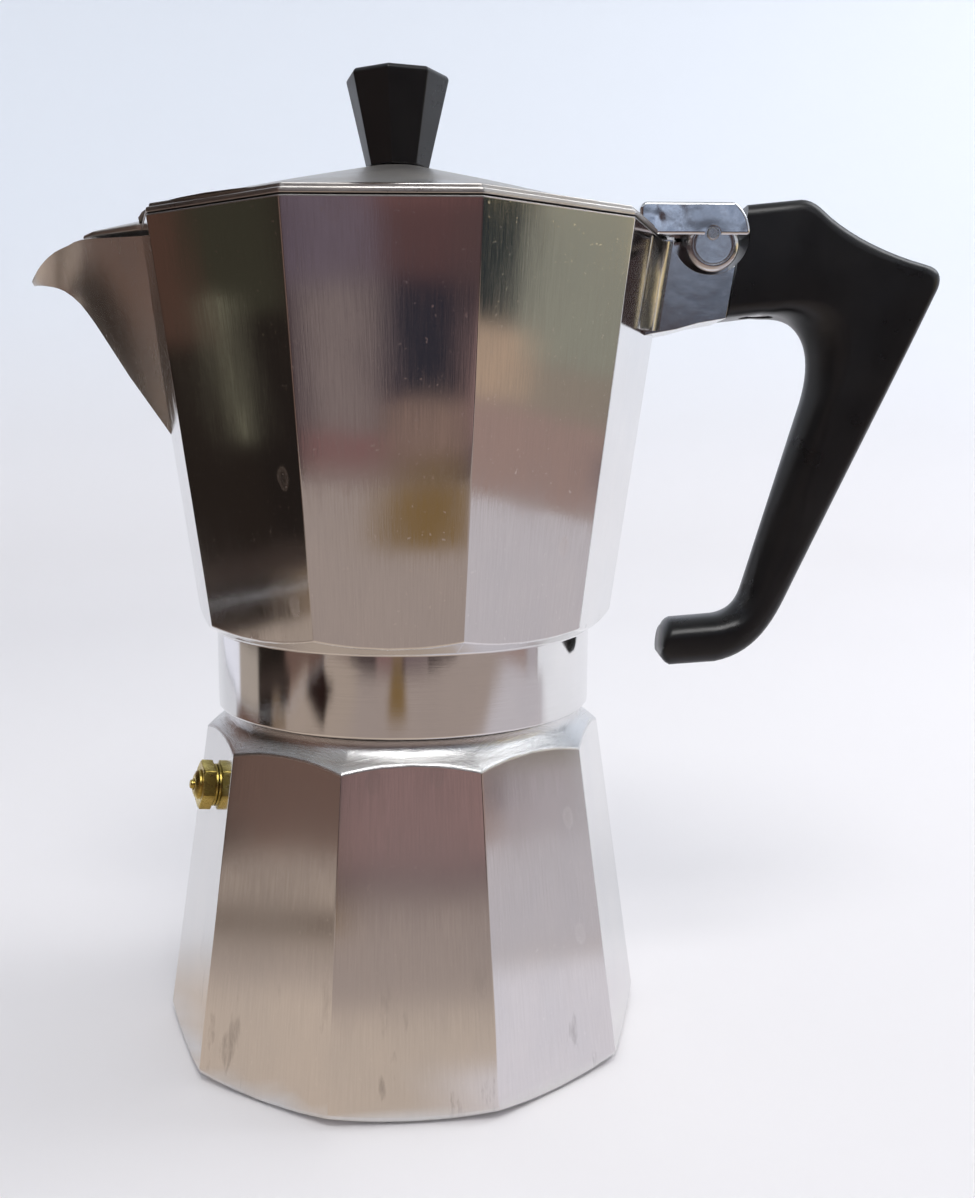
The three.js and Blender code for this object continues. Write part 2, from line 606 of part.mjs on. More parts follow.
// The saddle straddles the lug's knuckle and is riveted to the lid. A notch in its back lets it
// swing down past the lug's middle wall.
function lidHinge() {
  const { x, z } = HINGE;
  const [topZ, bottomZ, frontX] = [184.1, z - 0.3, 50.6];
  const body = plate(outline(
    [frontX, 179], [frontX, topZ - 1], [frontX + 1, topZ], [x + 4.3, topZ],
    [x + SADDLE_R, topZ - 3.4], [x + SADDLE_R, bottomZ], [54, bottomZ],
  ), SADDLE_HALF_WIDTH);
  const back = crossBar(SADDLE_R, HINGE, THROUGH, 48);
  const front = block([40, -THROUGH, 160], [x, THROUGH, 200]);
  const ears = crossBar(5.6, { x: x + 0.2, z: z - 2.2 }, SADDLE_HALF_WIDTH);
  const betweenEars = LUG_HALF_WIDTH + GAP;
  const knuckleSpace = crossBar(KNUCKLE_R + 0.4, HINGE, betweenEars);
  const below = block([x - 6.2, -betweenEars, 160], [x + 10, betweenEars, bottomZ]);
  const notchHalf = WEB_HALF_WIDTH + GAP;
  const notch = block([x + 1, -notchHalf, 160], [x + 10, notchHalf, 190]);
  const shell = cut(join(body.intersect(join(back, front)), ears), knuckleSpace, below, notch, lidSpace());
  const pinHole = crossBar(HINGE_PIN_R + 0.05, HINGE, THROUGH, SMALL_ROUND);
  return cut(shell, pinHole, ...rivetHole(1.3));
}
piece("lid_hinge", lidHinge(), polished);
piece("hinge_pin", crossBar(HINGE_PIN_R, HINGE, SADDLE_HALF_WIDTH + 0.5, SMALL_ROUND), steel);

for (const [name, side] of [["lid_rivet_left", -1], ["lid_rivet_right", 1]]) {
  const rivet = turned([[0, LID_Z + 0.1], [1.1, LID_Z + 0.1], [1.1, 182], [0, 182]], 12);
  piece(name, rivet.translate([RIVET_PLACES.x, side * RIVET_PLACES.y, 0]), steel);
}

// ---- Knob ----

const KNOB_TURN = THREE.MathUtils.degToRad(-96); // one of its eight corners, from +X
const knobGroup = new THREE.Group();
knobGroup.position.x = LID_CENTRE_X;
pot.add(knobGroup);

function knob() {
  const { bottomZ, bottomR, topZ, topR } = KNOB;
  const body = join(
    frustum(8, bottomR, bottomZ, topR, topZ - 0.8, KNOB_TURN),
    frustum(8, topR, topZ - 0.8, topR - 0.9, topZ, KNOB_TURN),
  );
  return cut(body, cylinder(3.2, 180, 202.4));
}
piece("knob", knob(), phenolic, knobGroup);
piece("knob_insert", ring(1.9, 2.9, 193, 202), brass, knobGroup);
piece("knob_washer", ring(2.0, 4.8, 189.6, 190.2), steel, knobGroup);
piece("knob_screw", screw(3.8, 1.6, 1.6, 14), steel, knobGroup).position.z = 187.7;

export default pot;
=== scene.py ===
# The looks of a ten-sided stovetop moka pot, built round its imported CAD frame. Lengths here are
# in millimetres; MM turns them into Blender's metres. The handle points to +X, the spout to -X.
from math import atan, atan2, copysign, cos, hypot, pi, radians, sin, tan

import bmesh
import bpy
from mathutils import Matrix, Vector


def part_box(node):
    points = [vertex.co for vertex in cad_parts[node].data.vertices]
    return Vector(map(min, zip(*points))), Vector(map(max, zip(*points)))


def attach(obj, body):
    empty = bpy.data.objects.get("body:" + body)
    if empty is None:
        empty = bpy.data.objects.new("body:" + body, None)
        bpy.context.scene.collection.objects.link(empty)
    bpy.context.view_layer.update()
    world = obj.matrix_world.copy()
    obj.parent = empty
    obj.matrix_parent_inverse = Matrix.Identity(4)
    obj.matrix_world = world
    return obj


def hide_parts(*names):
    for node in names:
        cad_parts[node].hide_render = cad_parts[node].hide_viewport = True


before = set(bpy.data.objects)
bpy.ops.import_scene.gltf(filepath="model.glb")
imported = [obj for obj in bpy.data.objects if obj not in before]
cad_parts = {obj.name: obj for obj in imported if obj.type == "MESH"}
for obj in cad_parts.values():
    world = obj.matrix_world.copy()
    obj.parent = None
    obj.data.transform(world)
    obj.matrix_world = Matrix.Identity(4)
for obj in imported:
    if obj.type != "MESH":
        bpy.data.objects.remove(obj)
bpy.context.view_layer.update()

MM = 0.001


def low(node):
    """The lowest corner of a CAD node, in millimetres."""
    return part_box(node)[0] / MM


def high(node):
    """The highest corner of a CAD node, in millimetres."""
    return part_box(node)[1] / MM


# ---- Driving dimensions ----

FACETS = 10
HALF_FACET = pi / FACETS
APOTHEM = cos(HALF_FACET)
CIRCLE_SIDES = 120

# Boiler
BOILER_TURN = radians(5.6)
FOOT_R = 50.5
BOILER_CORNER = (2.2, 55.0, 69.2, 45.0)  # height and radius of a facet corner's two ends
NECK_R = 40.1
THREAD_R = 39.0
THREAD_PITCH = 4.0
LIP_Z = high("boiler").z
MOUTH_R = 34.5
BOILER_WALL = 2.7

# Collector
BAND_R = 42.0
BAND_BOTTOM_Z = low("collector").z
BAND_TOP_Z = 92.7
RIM_R = 58.1
RIM_Z = 177.1
COLLECTOR_CORNER = (95.7, 46.9, RIM_Z, RIM_R)
COLLECTOR_WALL = 2.5
SEAT_Z = 90.4  # the ledge that the gasket bears on
SEAT_INNER_R = 32.8
SEAT_OUTER_R = 37.9
FLOOR_EDGE_R = 27.6  # where the sloped floor over the coffee starts
CHIMNEY_R = 6.2
NOTCH_SHARE = 0.172  # half width of the pouring notch, as a share of the wall's radius
NOTCH_BOTTOM_Z = 141

# Lid, hinge and knob
LID_Z = RIM_Z + 0.3
LID_CENTRE_X = (low("knob").x + high("knob").x) / 2
DOME_R = 53.4
DOME_TOP_R = 7.2
DOME_TOP_Z = high("lid").z
LID_SKIN = 1.6
HINGE = Vector((66.1, 0, 177.6))
LID_OPENS = 100  # degrees
THROUGH = 20  # half the length of a cutter that goes right through the hinge or the handle
SADDLE_R = 7.8
LUG_HALF_WIDTH = 9.0
KNUCKLE_R = 4.4
SWING_R = SADDLE_R + 0.35  # the space that the saddle swings in
HINGE_AXIS = Matrix.Translation(HINGE) @ Matrix.Rotation(pi / 2, 4, "X")

# Safety valve, on the axis of the boiler facet beside the spout
VALVE_Z = 59.1
VALVE_ANGLE = BOILER_TURN + 5.5 * 2 * HALF_FACET


def corner_radius(ends, z):
    """Radius of a facet corner at a height."""
    z0, r0, z1, r1 = ends
    return r0 + (z - z0) * (r1 - r0) / (z1 - z0)


def soft_step(value, start, end):
    """0 up to the start and 1 from the end on, with a smooth rise between them."""
    share = min(1, max(0, (value - start) / (end - start)))
    return share * share * (3 - 2 * share)


def inside(value, start, end, soft):
    """1 between start and end, fading to 0 over a soft distance at each of them."""
    return soft_step(value, start - soft, start + soft) * soft_step(value, end + soft, end - soft)


# ---- Mesh tools ----


def rounded(points, steps=3):
    """Turns (radius, z, rounding) points, with a finish or not, into (radius, z, finish) with curved
    corners. A finish is a place in the piece's list of materials."""
    result = []
    for index, (r, z, rounding, *finishes) in enumerate(points):
        finish = finishes[0] if finishes else 0
        if not rounding:
            result.append((r, z, finish))
            continue
        here = Vector((r, z))
        towards = [Vector(points[i % len(points)][:2]) - here for i in (index - 1, index + 1)]
        start, end = [here + t.normalized() * min(rounding, 0.45 * t.length) for t in towards]
        for step in range(steps + 1):
            share = step / steps
            point = start * (1 - share) ** 2 + here * 2 * share * (1 - share) + end * share**2
            result.append((point.x, point.y, finish))
    return result


def polygon(sides, turn, rounding, along=(0.02, 0.1, 0.2, 0.293, 0.5, 0.707, 0.8, 0.9, 0.98), arc=5):
    """(angle, share of the corner radius) round a regular polygon with rounded corners."""
    half = pi / sides
    middle = 1 - rounding / cos(half)
    arcs = []
    for side in range(sides):
        corner = turn + 2 * half * side
        centre = Vector((cos(corner), sin(corner))) * middle
        angles = [corner - half + 2 * half * step / arc for step in range(arc + 1)]
        arcs.append([centre + Vector((cos(a), sin(a))) * rounding for a in angles])
    ring = []
    for this, following in zip(arcs, arcs[1:] + arcs[:1]):
        ring += this
        ring += [this[-1].lerp(following[0], share) for share in along]
    return [(atan2(p.y, p.x), p.length) for p in ring]


def circle(sides=CIRCLE_SIDES):
    return [(2 * pi * side / sides, 1.0) for side in range(sides)]


def meet(share, ends, r0, z0, slope):
    """Where a facet meets the turned surface through (r0, z0) that rises by slope outwards."""
    growth = corner_radius(ends, 1) - corner_radius(ends, 0)
    r = share * (corner_radius(ends, z0) - growth * slope * r0) / (1 - share * growth * slope)
    return r, z0 + slope * (r - r0)


def skin(bm, columns, finishes, closed=True, wrap=True):
    """Joins columns of points into quads. A finish is a material index for each step down a column.
    The UVs are in units of 100 mm: round the widest row, and along each column."""
    uv = bm.loops.layers.uv.verify()
    rows = len(columns[0])
    verts = [[bm.verts.new(Vector(point) * MM) for point in column] for column in columns]
    widest = max(range(rows), key=lambda row: Vector(columns[0][row][:2]).length)
    around = [0.0]
    for this, following in zip(columns, columns[1:] + columns[:1]):
        around.append(around[-1] + (Vector(this[widest]) - Vector(following[widest])).length / 100)
    down = []
    for column in columns:
        lengths = [0.0]
        for a, b in zip(column, column[1:] + column[:1]):
            lengths.append(lengths[-1] + (Vector(a) - Vector(b)).length / 100)
        down.append(lengths)
    for i in range(len(columns) if wrap else len(columns) - 1):
        j = (i + 1) % len(columns)
        for row in range(rows if closed else rows - 1):
            below = (row + 1) % rows
            face = bm.faces.new((verts[i][row], verts[i][below], verts[j][below], verts[j][row]))
            face.material_index = finishes[row]
            places = (
                (around[i], down[i][row]),
                (around[i], down[i][row + 1]),
                (around[i + 1], down[j][row + 1]),
                (around[i + 1], down[j][row]),
            )
            for loop, place in zip(face.loops, places):
                loop[uv].uv = place
    return verts


def turn_profile(bm, ring, profile, matrix=None):
    """A surface over a ring of (angle, share), whose profile may change round it."""
    columns = []
    for angle, share in ring:
        points = profile(angle, share)
        columns.append([Vector((r * cos(angle), r * sin(angle), z)) for r, z, _ in points])
        finishes = [finish for _, _, finish in points]
        on_axis = min(points[0][0], points[-1][0]) < 1e-6
    if matrix:
        columns = [[matrix @ point for point in column] for column in columns]
    skin(bm, columns, finishes, closed=not on_axis)


def lathe(bm, points, sides=CIRCLE_SIDES, matrix=None):
    """A turned surface from points as rounded takes them."""
    outline = rounded(points)
    turn_profile(bm, circle(sides), lambda angle, share: outline, matrix)


def rod(r, bottom, top):
    """The outline of a plain solid cylinder."""
    return [(0, bottom, 0), (r, bottom, 0), (r, top, 0), (0, top, 0)]


def arc(centre, r, start, end, steps):
    """Points on an arc in the XZ plane, from a start to an end angle in degrees."""
    angles = [radians(start + (end - start) * step / steps) for step in range(steps + 1)]
    return [(centre.x + r * cos(a), centre.z + r * sin(a)) for a in angles]


def plate(bm, outline, half_width):
    """A flat shape in X and Z with a thickness along Y."""
    sides = [[bm.verts.new(Vector((x, y, z)) * MM) for x, z in outline] for y in (-half_width, half_width)]
    bm.faces.new(sides[0])
    bm.faces.new(sides[1][::-1])
    for i in range(len(outline)):
        j = (i + 1) % len(outline)
        bm.faces.new((sides[0][i], sides[1][i], sides[1][j], sides[0][j]))


def add_object(name, data):
    made = bpy.data.objects.new(name, data)
    bpy.context.scene.collection.objects.link(made)
    return made


def mesh_object(bm, name, materials, sharp=35):
    """Makes a smooth-shaded object with sharp edges where faces meet at more than sharp degrees."""
    bmesh.ops.remove_doubles(bm, verts=bm.verts, dist=1e-7)
    bmesh.ops.recalc_face_normals(bm, faces=bm.faces)
    mesh = bpy.data.meshes.new(name)
    bm.to_mesh(mesh)
    bm.free()
    mesh.shade_smooth()
    mesh.set_sharp_from_angle(angle=radians(sharp))
    for material in materials:
        mesh.materials.append(material)
    return add_object(name, mesh)


def turned(name, materials, points, sides=CIRCLE_SIDES, matrix=None):
    """An object with one turned surface."""
    bm = bmesh.new()
    lathe(bm, points, sides, matrix)
    return mesh_object(bm, name, materials)


def flat_cutter(name, outline, half_width):
    """A plate to carve with."""
    bm = bmesh.new()
    plate(bm, outline, half_width)
    return mesh_object(bm, name, [])


def bevel(piece, width, segments=3, angle=30):
    """Rounds the edges of a piece whose faces meet at more than an angle."""
    modifier = piece.modifiers.new("Rounded edges", "BEVEL")
    modifier.width = width * MM
    modifier.segments = segments
    modifier.limit_method = "ANGLE"
    modifier.angle_limit = radians(angle)
    modifier.harden_normals = False


def even_normals(piece):
    """Flat areas keep their own direction, so that only the rounded edges catch the light."""
    modifier = piece.modifiers.new("Even normals", "WEIGHTED_NORMAL")
    modifier.keep_sharp = True
    modifier.weight = 80


def carve(piece, cutter, sharp=35):
    """Takes the cutter's shape out of the piece."""
    modifier = piece.modifiers.new("Carve", "BOOLEAN")
    modifier.operation = "DIFFERENCE"
    modifier.solver = "EXACT"
    modifier.object = cutter
    bpy.context.view_layer.update()
    evaluated = piece.evaluated_get(bpy.context.evaluated_depsgraph_get())
    carved = bpy.data.meshes.new_from_object(evaluated)
    piece.modifiers.clear()
    piece.data = carved
    carved.set_sharp_from_angle(angle=radians(sharp))
    bpy.data.objects.remove(cutter)


def settle(piece, body, slot, *nodes):
    """The piece rides on a body and stands for CAD nodes, which it hides. The slot is not used."""
    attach(piece, body)
    if nodes:
        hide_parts(*nodes)


# ---- Material tools ----


class Nodes:
    """A short way to write a material's nodes."""

    def __init__(self, name):
        self.material = bpy.data.materials.new(name)
        self.material.use_nodes = True
        self.tree = self.material.node_tree
        self.shader = self.tree.nodes["Principled BSDF"]

    def add(self, kind, inputs, output=0, **settings):
        node = self.tree.nodes.new(kind)
        for name, value in settings.items():
            setattr(node, name, value)
        for key, value in inputs.items():
            self.put(node.inputs[key], value)
        return node.outputs[output]

    def put(self, socket, value):
        if isinstance(value, bpy.types.NodeSocket):
            self.tree.links.new(value, socket)
        else:
            socket.default_value = value

    def set(self, **inputs):
        for key, value in inputs.items():
            self.put(self.shader.inputs[key.replace("_", " ")], value)

    def uv(self, *scale):
        """The UV place, scaled so that one unit is one feature."""
        place = self.add("ShaderNodeTexCoord", {}, "UV")
        return self.add("ShaderNodeMapping", {"Vector": place, "Scale": (*scale, 1)})

    def space(self, *scale):
        """The place on the object, scaled so that one unit is one feature."""
        place = self.add("ShaderNodeTexCoord", {}, "Object")
        return self.add("ShaderNodeMapping", {"Vector": place, "Scale": scale})

    def noise(self, place, detail=3, roughness=0.5, distortion=0.0):
        inputs = {
            "Vector": place, "Scale": 1.0, "Detail": detail, "Roughness": roughness,
            "Distortion": distortion,
        }
        return self.add("ShaderNodeTexNoise", inputs, "Fac")

    def scale(self, value, from_low, from_high, to_low, to_high, smooth=False):
        inputs = {0: value, 1: from_low, 2: from_high, 3: to_low, 4: to_high}
        kind = "SMOOTHSTEP" if smooth else "LINEAR"
        return self.add("ShaderNodeMapRange", inputs, interpolation_type=kind)

    def maths(self, operation, a, b=0.0, clamp=False):
        return self.add("ShaderNodeMath", {0: a, 1: b}, operation=operation, use_clamp=clamp)

    def mix(self, share, a, b):
        inputs = {0: share, 6: a, 7: b}
        return self.add("ShaderNodeMix", inputs, 2, data_type="RGBA")

    def bump(self, height, strength, distance, normal=None):
        inputs = {"Height": height, "Strength": strength, "Distance": distance}
        if normal:
            inputs["Normal"] = normal
        return self.add("ShaderNodeBump", inputs)


def grey(value, warmth=0.0):
    """A grey, a little warmer or cooler than neutral."""
    return (value * (1 + warmth), value, value * (1 - warmth), 1)


def water_marks(nodes):
    """Faint rings and blots where drops have dried: 1 on a mark and 0 between them."""
    warp = nodes.scale(nodes.noise(nodes.uv(30, 30), detail=1), 0.2, 0.8, -0.05, 0.05)
    place = nodes.add("ShaderNodeVectorMath", {0: nodes.uv(13.0, 9.5), 1: warp}, operation="ADD")
    cell = {"Vector": place, "Scale": 1.0, "Randomness": 1.0}
    distance = nodes.add("ShaderNodeTexVoronoi", cell, "Distance")
    colour = nodes.add("ShaderNodeTexVoronoi", cell, "Color")
    chosen = nodes.scale(nodes.add("ShaderNodeSeparateColor", {0: colour}, 0), 0.82, 0.92, 0, 1)
    inside_mark = nodes.scale(distance, 0.26, 0.18, 0, 0.45, smooth=True)
    edge = nodes.maths(
        "MULTIPLY",
        nodes.scale(distance, 0.08, 0.21, 0, 0.3, smooth=True),
        nodes.scale(distance, 0.28, 0.21, 0, 1, smooth=True),
    )
    return nodes.maths("MULTIPLY", chosen, nodes.maths("ADD", inside_mark, edge), clamp=True)


def streaks(nodes, from_height, to_height):
    """Upright soot streaks and blots between two heights in metres: 1 in a streak."""
    runs = nodes.noise(nodes.space(210, 210, 48), detail=5, roughness=0.6)
    height = nodes.add("ShaderNodeSeparateXYZ", {0: nodes.space(1, 1, 1)}, 2)
    near = nodes.scale(height, to_height, from_height, 0, 1, smooth=True)
    return nodes.maths("MULTIPLY", nodes.scale(runs, 0.61, 0.78, 0, 1), near)


def brushed_metal(name, colour, roughness, grain, lean, marks=0.0, stains=0.0, lines_depth=0.016):
    """Aluminium with fine lines. grain is the lines' spacing round and along the piece, in lines
    per 100 mm. marks is the share of dried water, and stains of grey soot near the foot."""
    nodes = Nodes(name)
    lines = nodes.noise(nodes.uv(*grain), detail=4, roughness=0.7)
    fine = nodes.noise(nodes.uv(grain[0] * 3, grain[1] * 3), detail=2)
    clouds = nodes.noise(nodes.space(40, 40, 26), detail=5, roughness=0.62)
    rough = nodes.scale(clouds, 0.3, 0.7, roughness - 0.025, roughness + 0.035)
    rough = nodes.maths("ADD", rough, nodes.scale(lines, 0.35, 0.65, -0.02, 0.03))
    cloudy = nodes.scale(clouds, 0.35, 0.65, 0, 1)
    tint = nodes.mix(cloudy, grey(colour, lean), grey(colour * 0.94, -lean / 2))
    tint = nodes.mix(nodes.scale(lines, 0.3, 0.7, 0.0, 0.30), tint, grey(colour * 0.78, lean))
    if marks:
        specks = nodes.scale(nodes.noise(nodes.space(1300, 1300, 1300), detail=1), 0.70, 0.76, 0, marks)
        rough = nodes.maths("ADD", rough, nodes.scale(specks, 0, 1, 0, 0.12))
        tint = nodes.mix(nodes.scale(specks, 0, 1, 0, 0.5), tint, grey(0.9, 0.01))
        wet = nodes.maths("MULTIPLY", water_marks(nodes), marks)
        rough = nodes.maths("ADD", rough, nodes.scale(wet, 0, 1, 0, 0.20))
        tint = nodes.mix(nodes.scale(wet, 0, 1, 0, 0.5), tint, grey(0.88, 0.01))
    if stains:
        soot = nodes.maths("MULTIPLY", streaks(nodes, 0.006, 0.038), stains)
        tint = nodes.mix(soot, tint, grey(0.26, 0.02))
        rough = nodes.maths("ADD", rough, nodes.scale(soot, 0, 1, 0, 0.15))
    wave = nodes.bump(nodes.noise(nodes.space(38, 38, 16), detail=2), 0.07, 0.002)
    relief = nodes.maths("ADD", lines, nodes.maths("MULTIPLY", fine, 0.5))
    grooves = nodes.bump(relief, lines_depth, 0.0002, wave)
    nodes.set(Base_Color=tint, Metallic=1.0, Roughness=rough, Normal=grooves)
    return nodes.material


def cast_metal(name, colour, roughness, lean=0.01, pits=0.3, waves=0.12):
    """Plain cast or spun metal: a fine matt grain, soft clouds and a few pits."""
    nodes = Nodes(name)
    grain = nodes.noise(nodes.space(1600, 1600, 1600), detail=3, roughness=0.6)
    clouds = nodes.noise(nodes.space(60, 60, 60), detail=4, roughness=0.6)
    rough = nodes.scale(clouds, 0.3, 0.7, roughness - 0.05, roughness + 0.07)
    rough = nodes.maths("ADD", rough, nodes.scale(grain, 0.3, 0.7, -0.04, 0.04))
    tint = nodes.mix(nodes.scale(clouds, 0.3, 0.7, 0, 1), grey(colour, lean), grey(colour * 0.86, lean * 2))
    wave = nodes.bump(nodes.noise(nodes.space(120, 120, 120), detail=2), waves, 0.001)
    normal = nodes.bump(grain, pits * 0.5, 0.00012, wave)
    nodes.set(Base_Color=tint, Metallic=1.0, Roughness=rough, Normal=normal)
    return nodes.material


def brass_metal():
    nodes = Nodes("brass")
    tarnish = nodes.noise(nodes.space(420, 420, 420), detail=4, roughness=0.65)
    turning = nodes.noise(nodes.space(1800, 1800, 5200), detail=2)
    tint = nodes.mix(nodes.scale(tarnish, 0.4, 0.7, 0, 1), (0.60, 0.47, 0.13, 1), (0.33, 0.25, 0.06, 1))
    rough = nodes.scale(tarnish, 0.3, 0.7, 0.20, 0.38)
    normal = nodes.bump(turning, 0.2, 0.00008)
    nodes.set(Base_Color=tint, Metallic=1.0, Roughness=rough, Normal=normal)
    return nodes.material


def phenolic_plastic():
    """Black moulded phenolic: a deep gloss, a faint orange-peel skin and hairline scratches."""
    nodes = Nodes("black_phenolic")
    peel = nodes.noise(nodes.space(420, 420, 420), detail=2)
    haze = nodes.noise(nodes.space(70, 70, 70), detail=4, roughness=0.65)
    hairs = nodes.noise(nodes.space(2400, 2400, 130), detail=2, distortion=0.4)
    worn = nodes.scale(hairs, 0.66, 0.74, 0, 1)
    rough = nodes.scale(haze, 0.35, 0.7, 0.27, 0.36)
    rough = nodes.maths("ADD", rough, nodes.maths("MULTIPLY", worn, 0.10))
    black, worn_black = (0.0065, 0.006, 0.0065, 1), (0.010, 0.009, 0.009, 1)
    tint = nodes.mix(nodes.scale(haze, 0.4, 0.8, 0, 1), black, worn_black)
    soft = nodes.bump(nodes.noise(nodes.space(60, 60, 60), detail=1), 0.06, 0.001)
    normal = nodes.bump(peel, 0.05, 0.0003, soft)
    nodes.set(Base_Color=tint, Roughness=rough, Normal=normal, IOR=1.5, Specular_IOR_Level=0.36)
    return nodes.material


def rubber():
    nodes = Nodes("gasket_rubber")
    dust = nodes.noise(nodes.space(900, 900, 900), detail=4, roughness=0.7)
    coffee = nodes.noise(nodes.space(80, 80, 80), detail=3)
    tint = nodes.mix(nodes.scale(coffee, 0.45, 0.7, 0, 1), (0.76, 0.72, 0.62, 1), (0.45, 0.34, 0.22, 1))
    rough = nodes.scale(dust, 0.3, 0.7, 0.6, 0.85)
    nodes.set(Base_Color=tint, Roughness=rough, Normal=nodes.bump(dust, 0.2, 0.0003))
    return nodes.material


FACET_GRAIN = (260, 9)  # upright lines
TURNED_GRAIN = (5, 700)  # lines round the pot
boiler_facets = brushed_metal("boiler_facets", 0.74, 0.12, FACET_GRAIN, 0.012, marks=0.4, stains=0.8)
collector_facets = brushed_metal("collector_facets", 0.74, 0.08, FACET_GRAIN, 0.012, marks=0.9)
spout_metal = brushed_metal("spout_metal", 0.62, 0.24, FACET_GRAIN, 0.05, lines_depth=0.03)
polished_band = brushed_metal("polished_band", 0.76, 0.07, TURNED_GRAIN, 0.008, lines_depth=0.01)
turned_metal = brushed_metal("turned_metal", 0.72, 0.27, TURNED_GRAIN, 0.008, lines_depth=0.25)
dull_metal = brushed_metal("dull_metal", 0.62, 0.36, TURNED_GRAIN, 0.03, marks=0.6, lines_depth=0.1)
lid_metal = cast_metal("lid_metal", 0.56, 0.34, 0.04, pits=0.12)
lug_metal = cast_metal("lug_metal", 0.72, 0.17, 0.0, pits=0.12)
hinge_metal = cast_metal("hinge_metal", 0.76, 0.13, -0.01, pits=0.06, waves=0.4)
steel = cast_metal("steel", 0.62, 0.26, 0.0)
brass = brass_metal()
phenolic = phenolic_plastic()
gasket_rubber = rubber()
FACET, TURNED, INSIDE = 0, 1, 2  # places in a shell's list of materials


# ---- Boiler ----


def thread(bottom, top, r, depth, angle, finish):
    """Rows of a screw thread between two heights, cut depth deep into a radius."""
    rows = int((top - bottom) / 0.3)
    result = []
    for row in range(rows + 1):
        z = bottom + (top - bottom) * row / rows
        wave = 0.5 + 0.5 * cos(2 * pi * (z / THREAD_PITCH - angle / (2 * pi)))
        fade = min(1, (z - bottom) / 2, (top - z) / 2)
        result.append((r - depth * fade * wave**0.6, z, 0, finish))
    return result


def boiler_profile(angle, share):
    _, _, top_z, top_r = BOILER_CORNER
    foot_slope, shoulder_slope, cone_r = 0.49, -0.7, 42.2
    foot_r, foot_z = meet(share, BOILER_CORNER, FOOT_R, 0, foot_slope)
    shoulder_r, shoulder_z = meet(share, BOILER_CORNER, top_r, top_z, shoulder_slope)
    cone_z = top_z + shoulder_slope * (cone_r - top_r)

    def inner(z):
        return corner_radius(BOILER_CORNER, z) * APOTHEM - BOILER_WALL

    return rounded([
        (0, 0, 0, TURNED), (FOOT_R, 0, 0.5, TURNED), (foot_r, foot_z, 0.9, FACET),
        (shoulder_r, shoulder_z, 0.5, TURNED), (cone_r, cone_z, 0.4, TURNED),
        (40.7, 72.4, 1.2, TURNED), (NECK_R, 73.7, 0.9, TURNED), (NECK_R, 74.9, 0.2, TURNED),
        *thread(75.4, LIP_Z - 0.6, THREAD_R, 0.9, angle, TURNED), (THREAD_R - 0.6, LIP_Z, 0.2, TURNED),
        (MOUTH_R, LIP_Z, 0.4, INSIDE), (MOUTH_R, 72.5, 2, INSIDE), (inner(64), 64, 4, INSIDE),
        (inner(6), 6, 4, INSIDE), (inner(3.2) - 3, 3.2, 3, INSIDE), (0, 3.2, 0, INSIDE),
    ])


def boiler():
    bm = bmesh.new()
    turn_profile(bm, polygon(FACETS, BOILER_TURN, 0.012), boiler_profile)
    made = mesh_object(bm, "boiler_shell", [boiler_facets, turned_metal, dull_metal])
    even_normals(made)
    settle(made, "base", "boiler_aluminium", "boiler")


# ---- Safety valve ----


def valve():
    foot_z, foot_r, top_z, top_r = BOILER_CORNER
    lean = atan((foot_r - top_r) * APOTHEM / (top_z - foot_z))
    reach = corner_radius(BOILER_CORNER, VALVE_Z) * APOTHEM
    place = Vector((reach * cos(VALVE_ANGLE), reach * sin(VALVE_ANGLE), VALVE_Z))
    turn = Matrix.Rotation(VALVE_ANGLE, 4, "Z") @ Matrix.Rotation(pi / 2 - lean, 4, "Y")
    outwards = Matrix.Translation(place) @ turn
    # Heights along the valve's axis, out from the facet, and radii round it.
    inner_z, hex_bottom, hex_top, bore_z, nose_z = -7.2, 0.7, 3.3, 2.4, 4.6
    hex_r, nose_r, stem_r, bore_r, tip_r = 5.4, 3.2, 3.7, 2.7, 1.3

    def body_profile(angle, share):
        r = hex_r * share
        chamfer_z = min(hex_top - 0.05, hex_top - 0.4 - 0.625 * (r - hex_r - 0.2))
        return rounded([
            (bore_r, inner_z, 0), (stem_r, inner_z, 0.3), (stem_r, hex_bottom, 0),
            (r, hex_bottom, 0.15), (r, chamfer_z, 0.12),
            (min(r - 0.1, hex_r - 0.6), hex_top + 0.05, 0.1), (nose_r + 0.15, hex_top, 0),
            (nose_r, hex_top + 0.15, 0), (nose_r, nose_z - 0.7, 0.5), (nose_r - 1.2, nose_z, 0.7),
            (tip_r, nose_z, 0.15), (tip_r, bore_z, 0), (bore_r, bore_z, 0),
        ])

    bm = bmesh.new()
    hexagon = polygon(6, radians(77), 0.05, along=(0.15, 0.35, 0.5, 0.65, 0.85), arc=3)
    turn_profile(bm, hexagon, body_profile, outwards)
    settle(mesh_object(bm, "valve_hexagon", [brass]), "base", "valve_brass", "valve_body")

    ring_outline = [(4.0, 0.1, 0), (4.6, 0.1, 0.1), (4.6, 0.6, 0.1), (4.0, 0.6, 0)]
    ring = turned("valve_seal_ring", [brass], ring_outline, 64, outwards)
    settle(ring, "base", "valve_brass", "valve_washer")

    pin = turned("valve_pin", [brass], [
        (0, -5.6, 0), (2.3, -5.6, 0.3), (2.3, -4.4, 0.2),
        (1, -4.4, 0), (1, 5.4, 0.5), (0, 5.4, 0),
    ], 40, outwards)
    settle(pin, "plunger", "valve_brass", "valve_plunger")


# ---- Collector ----


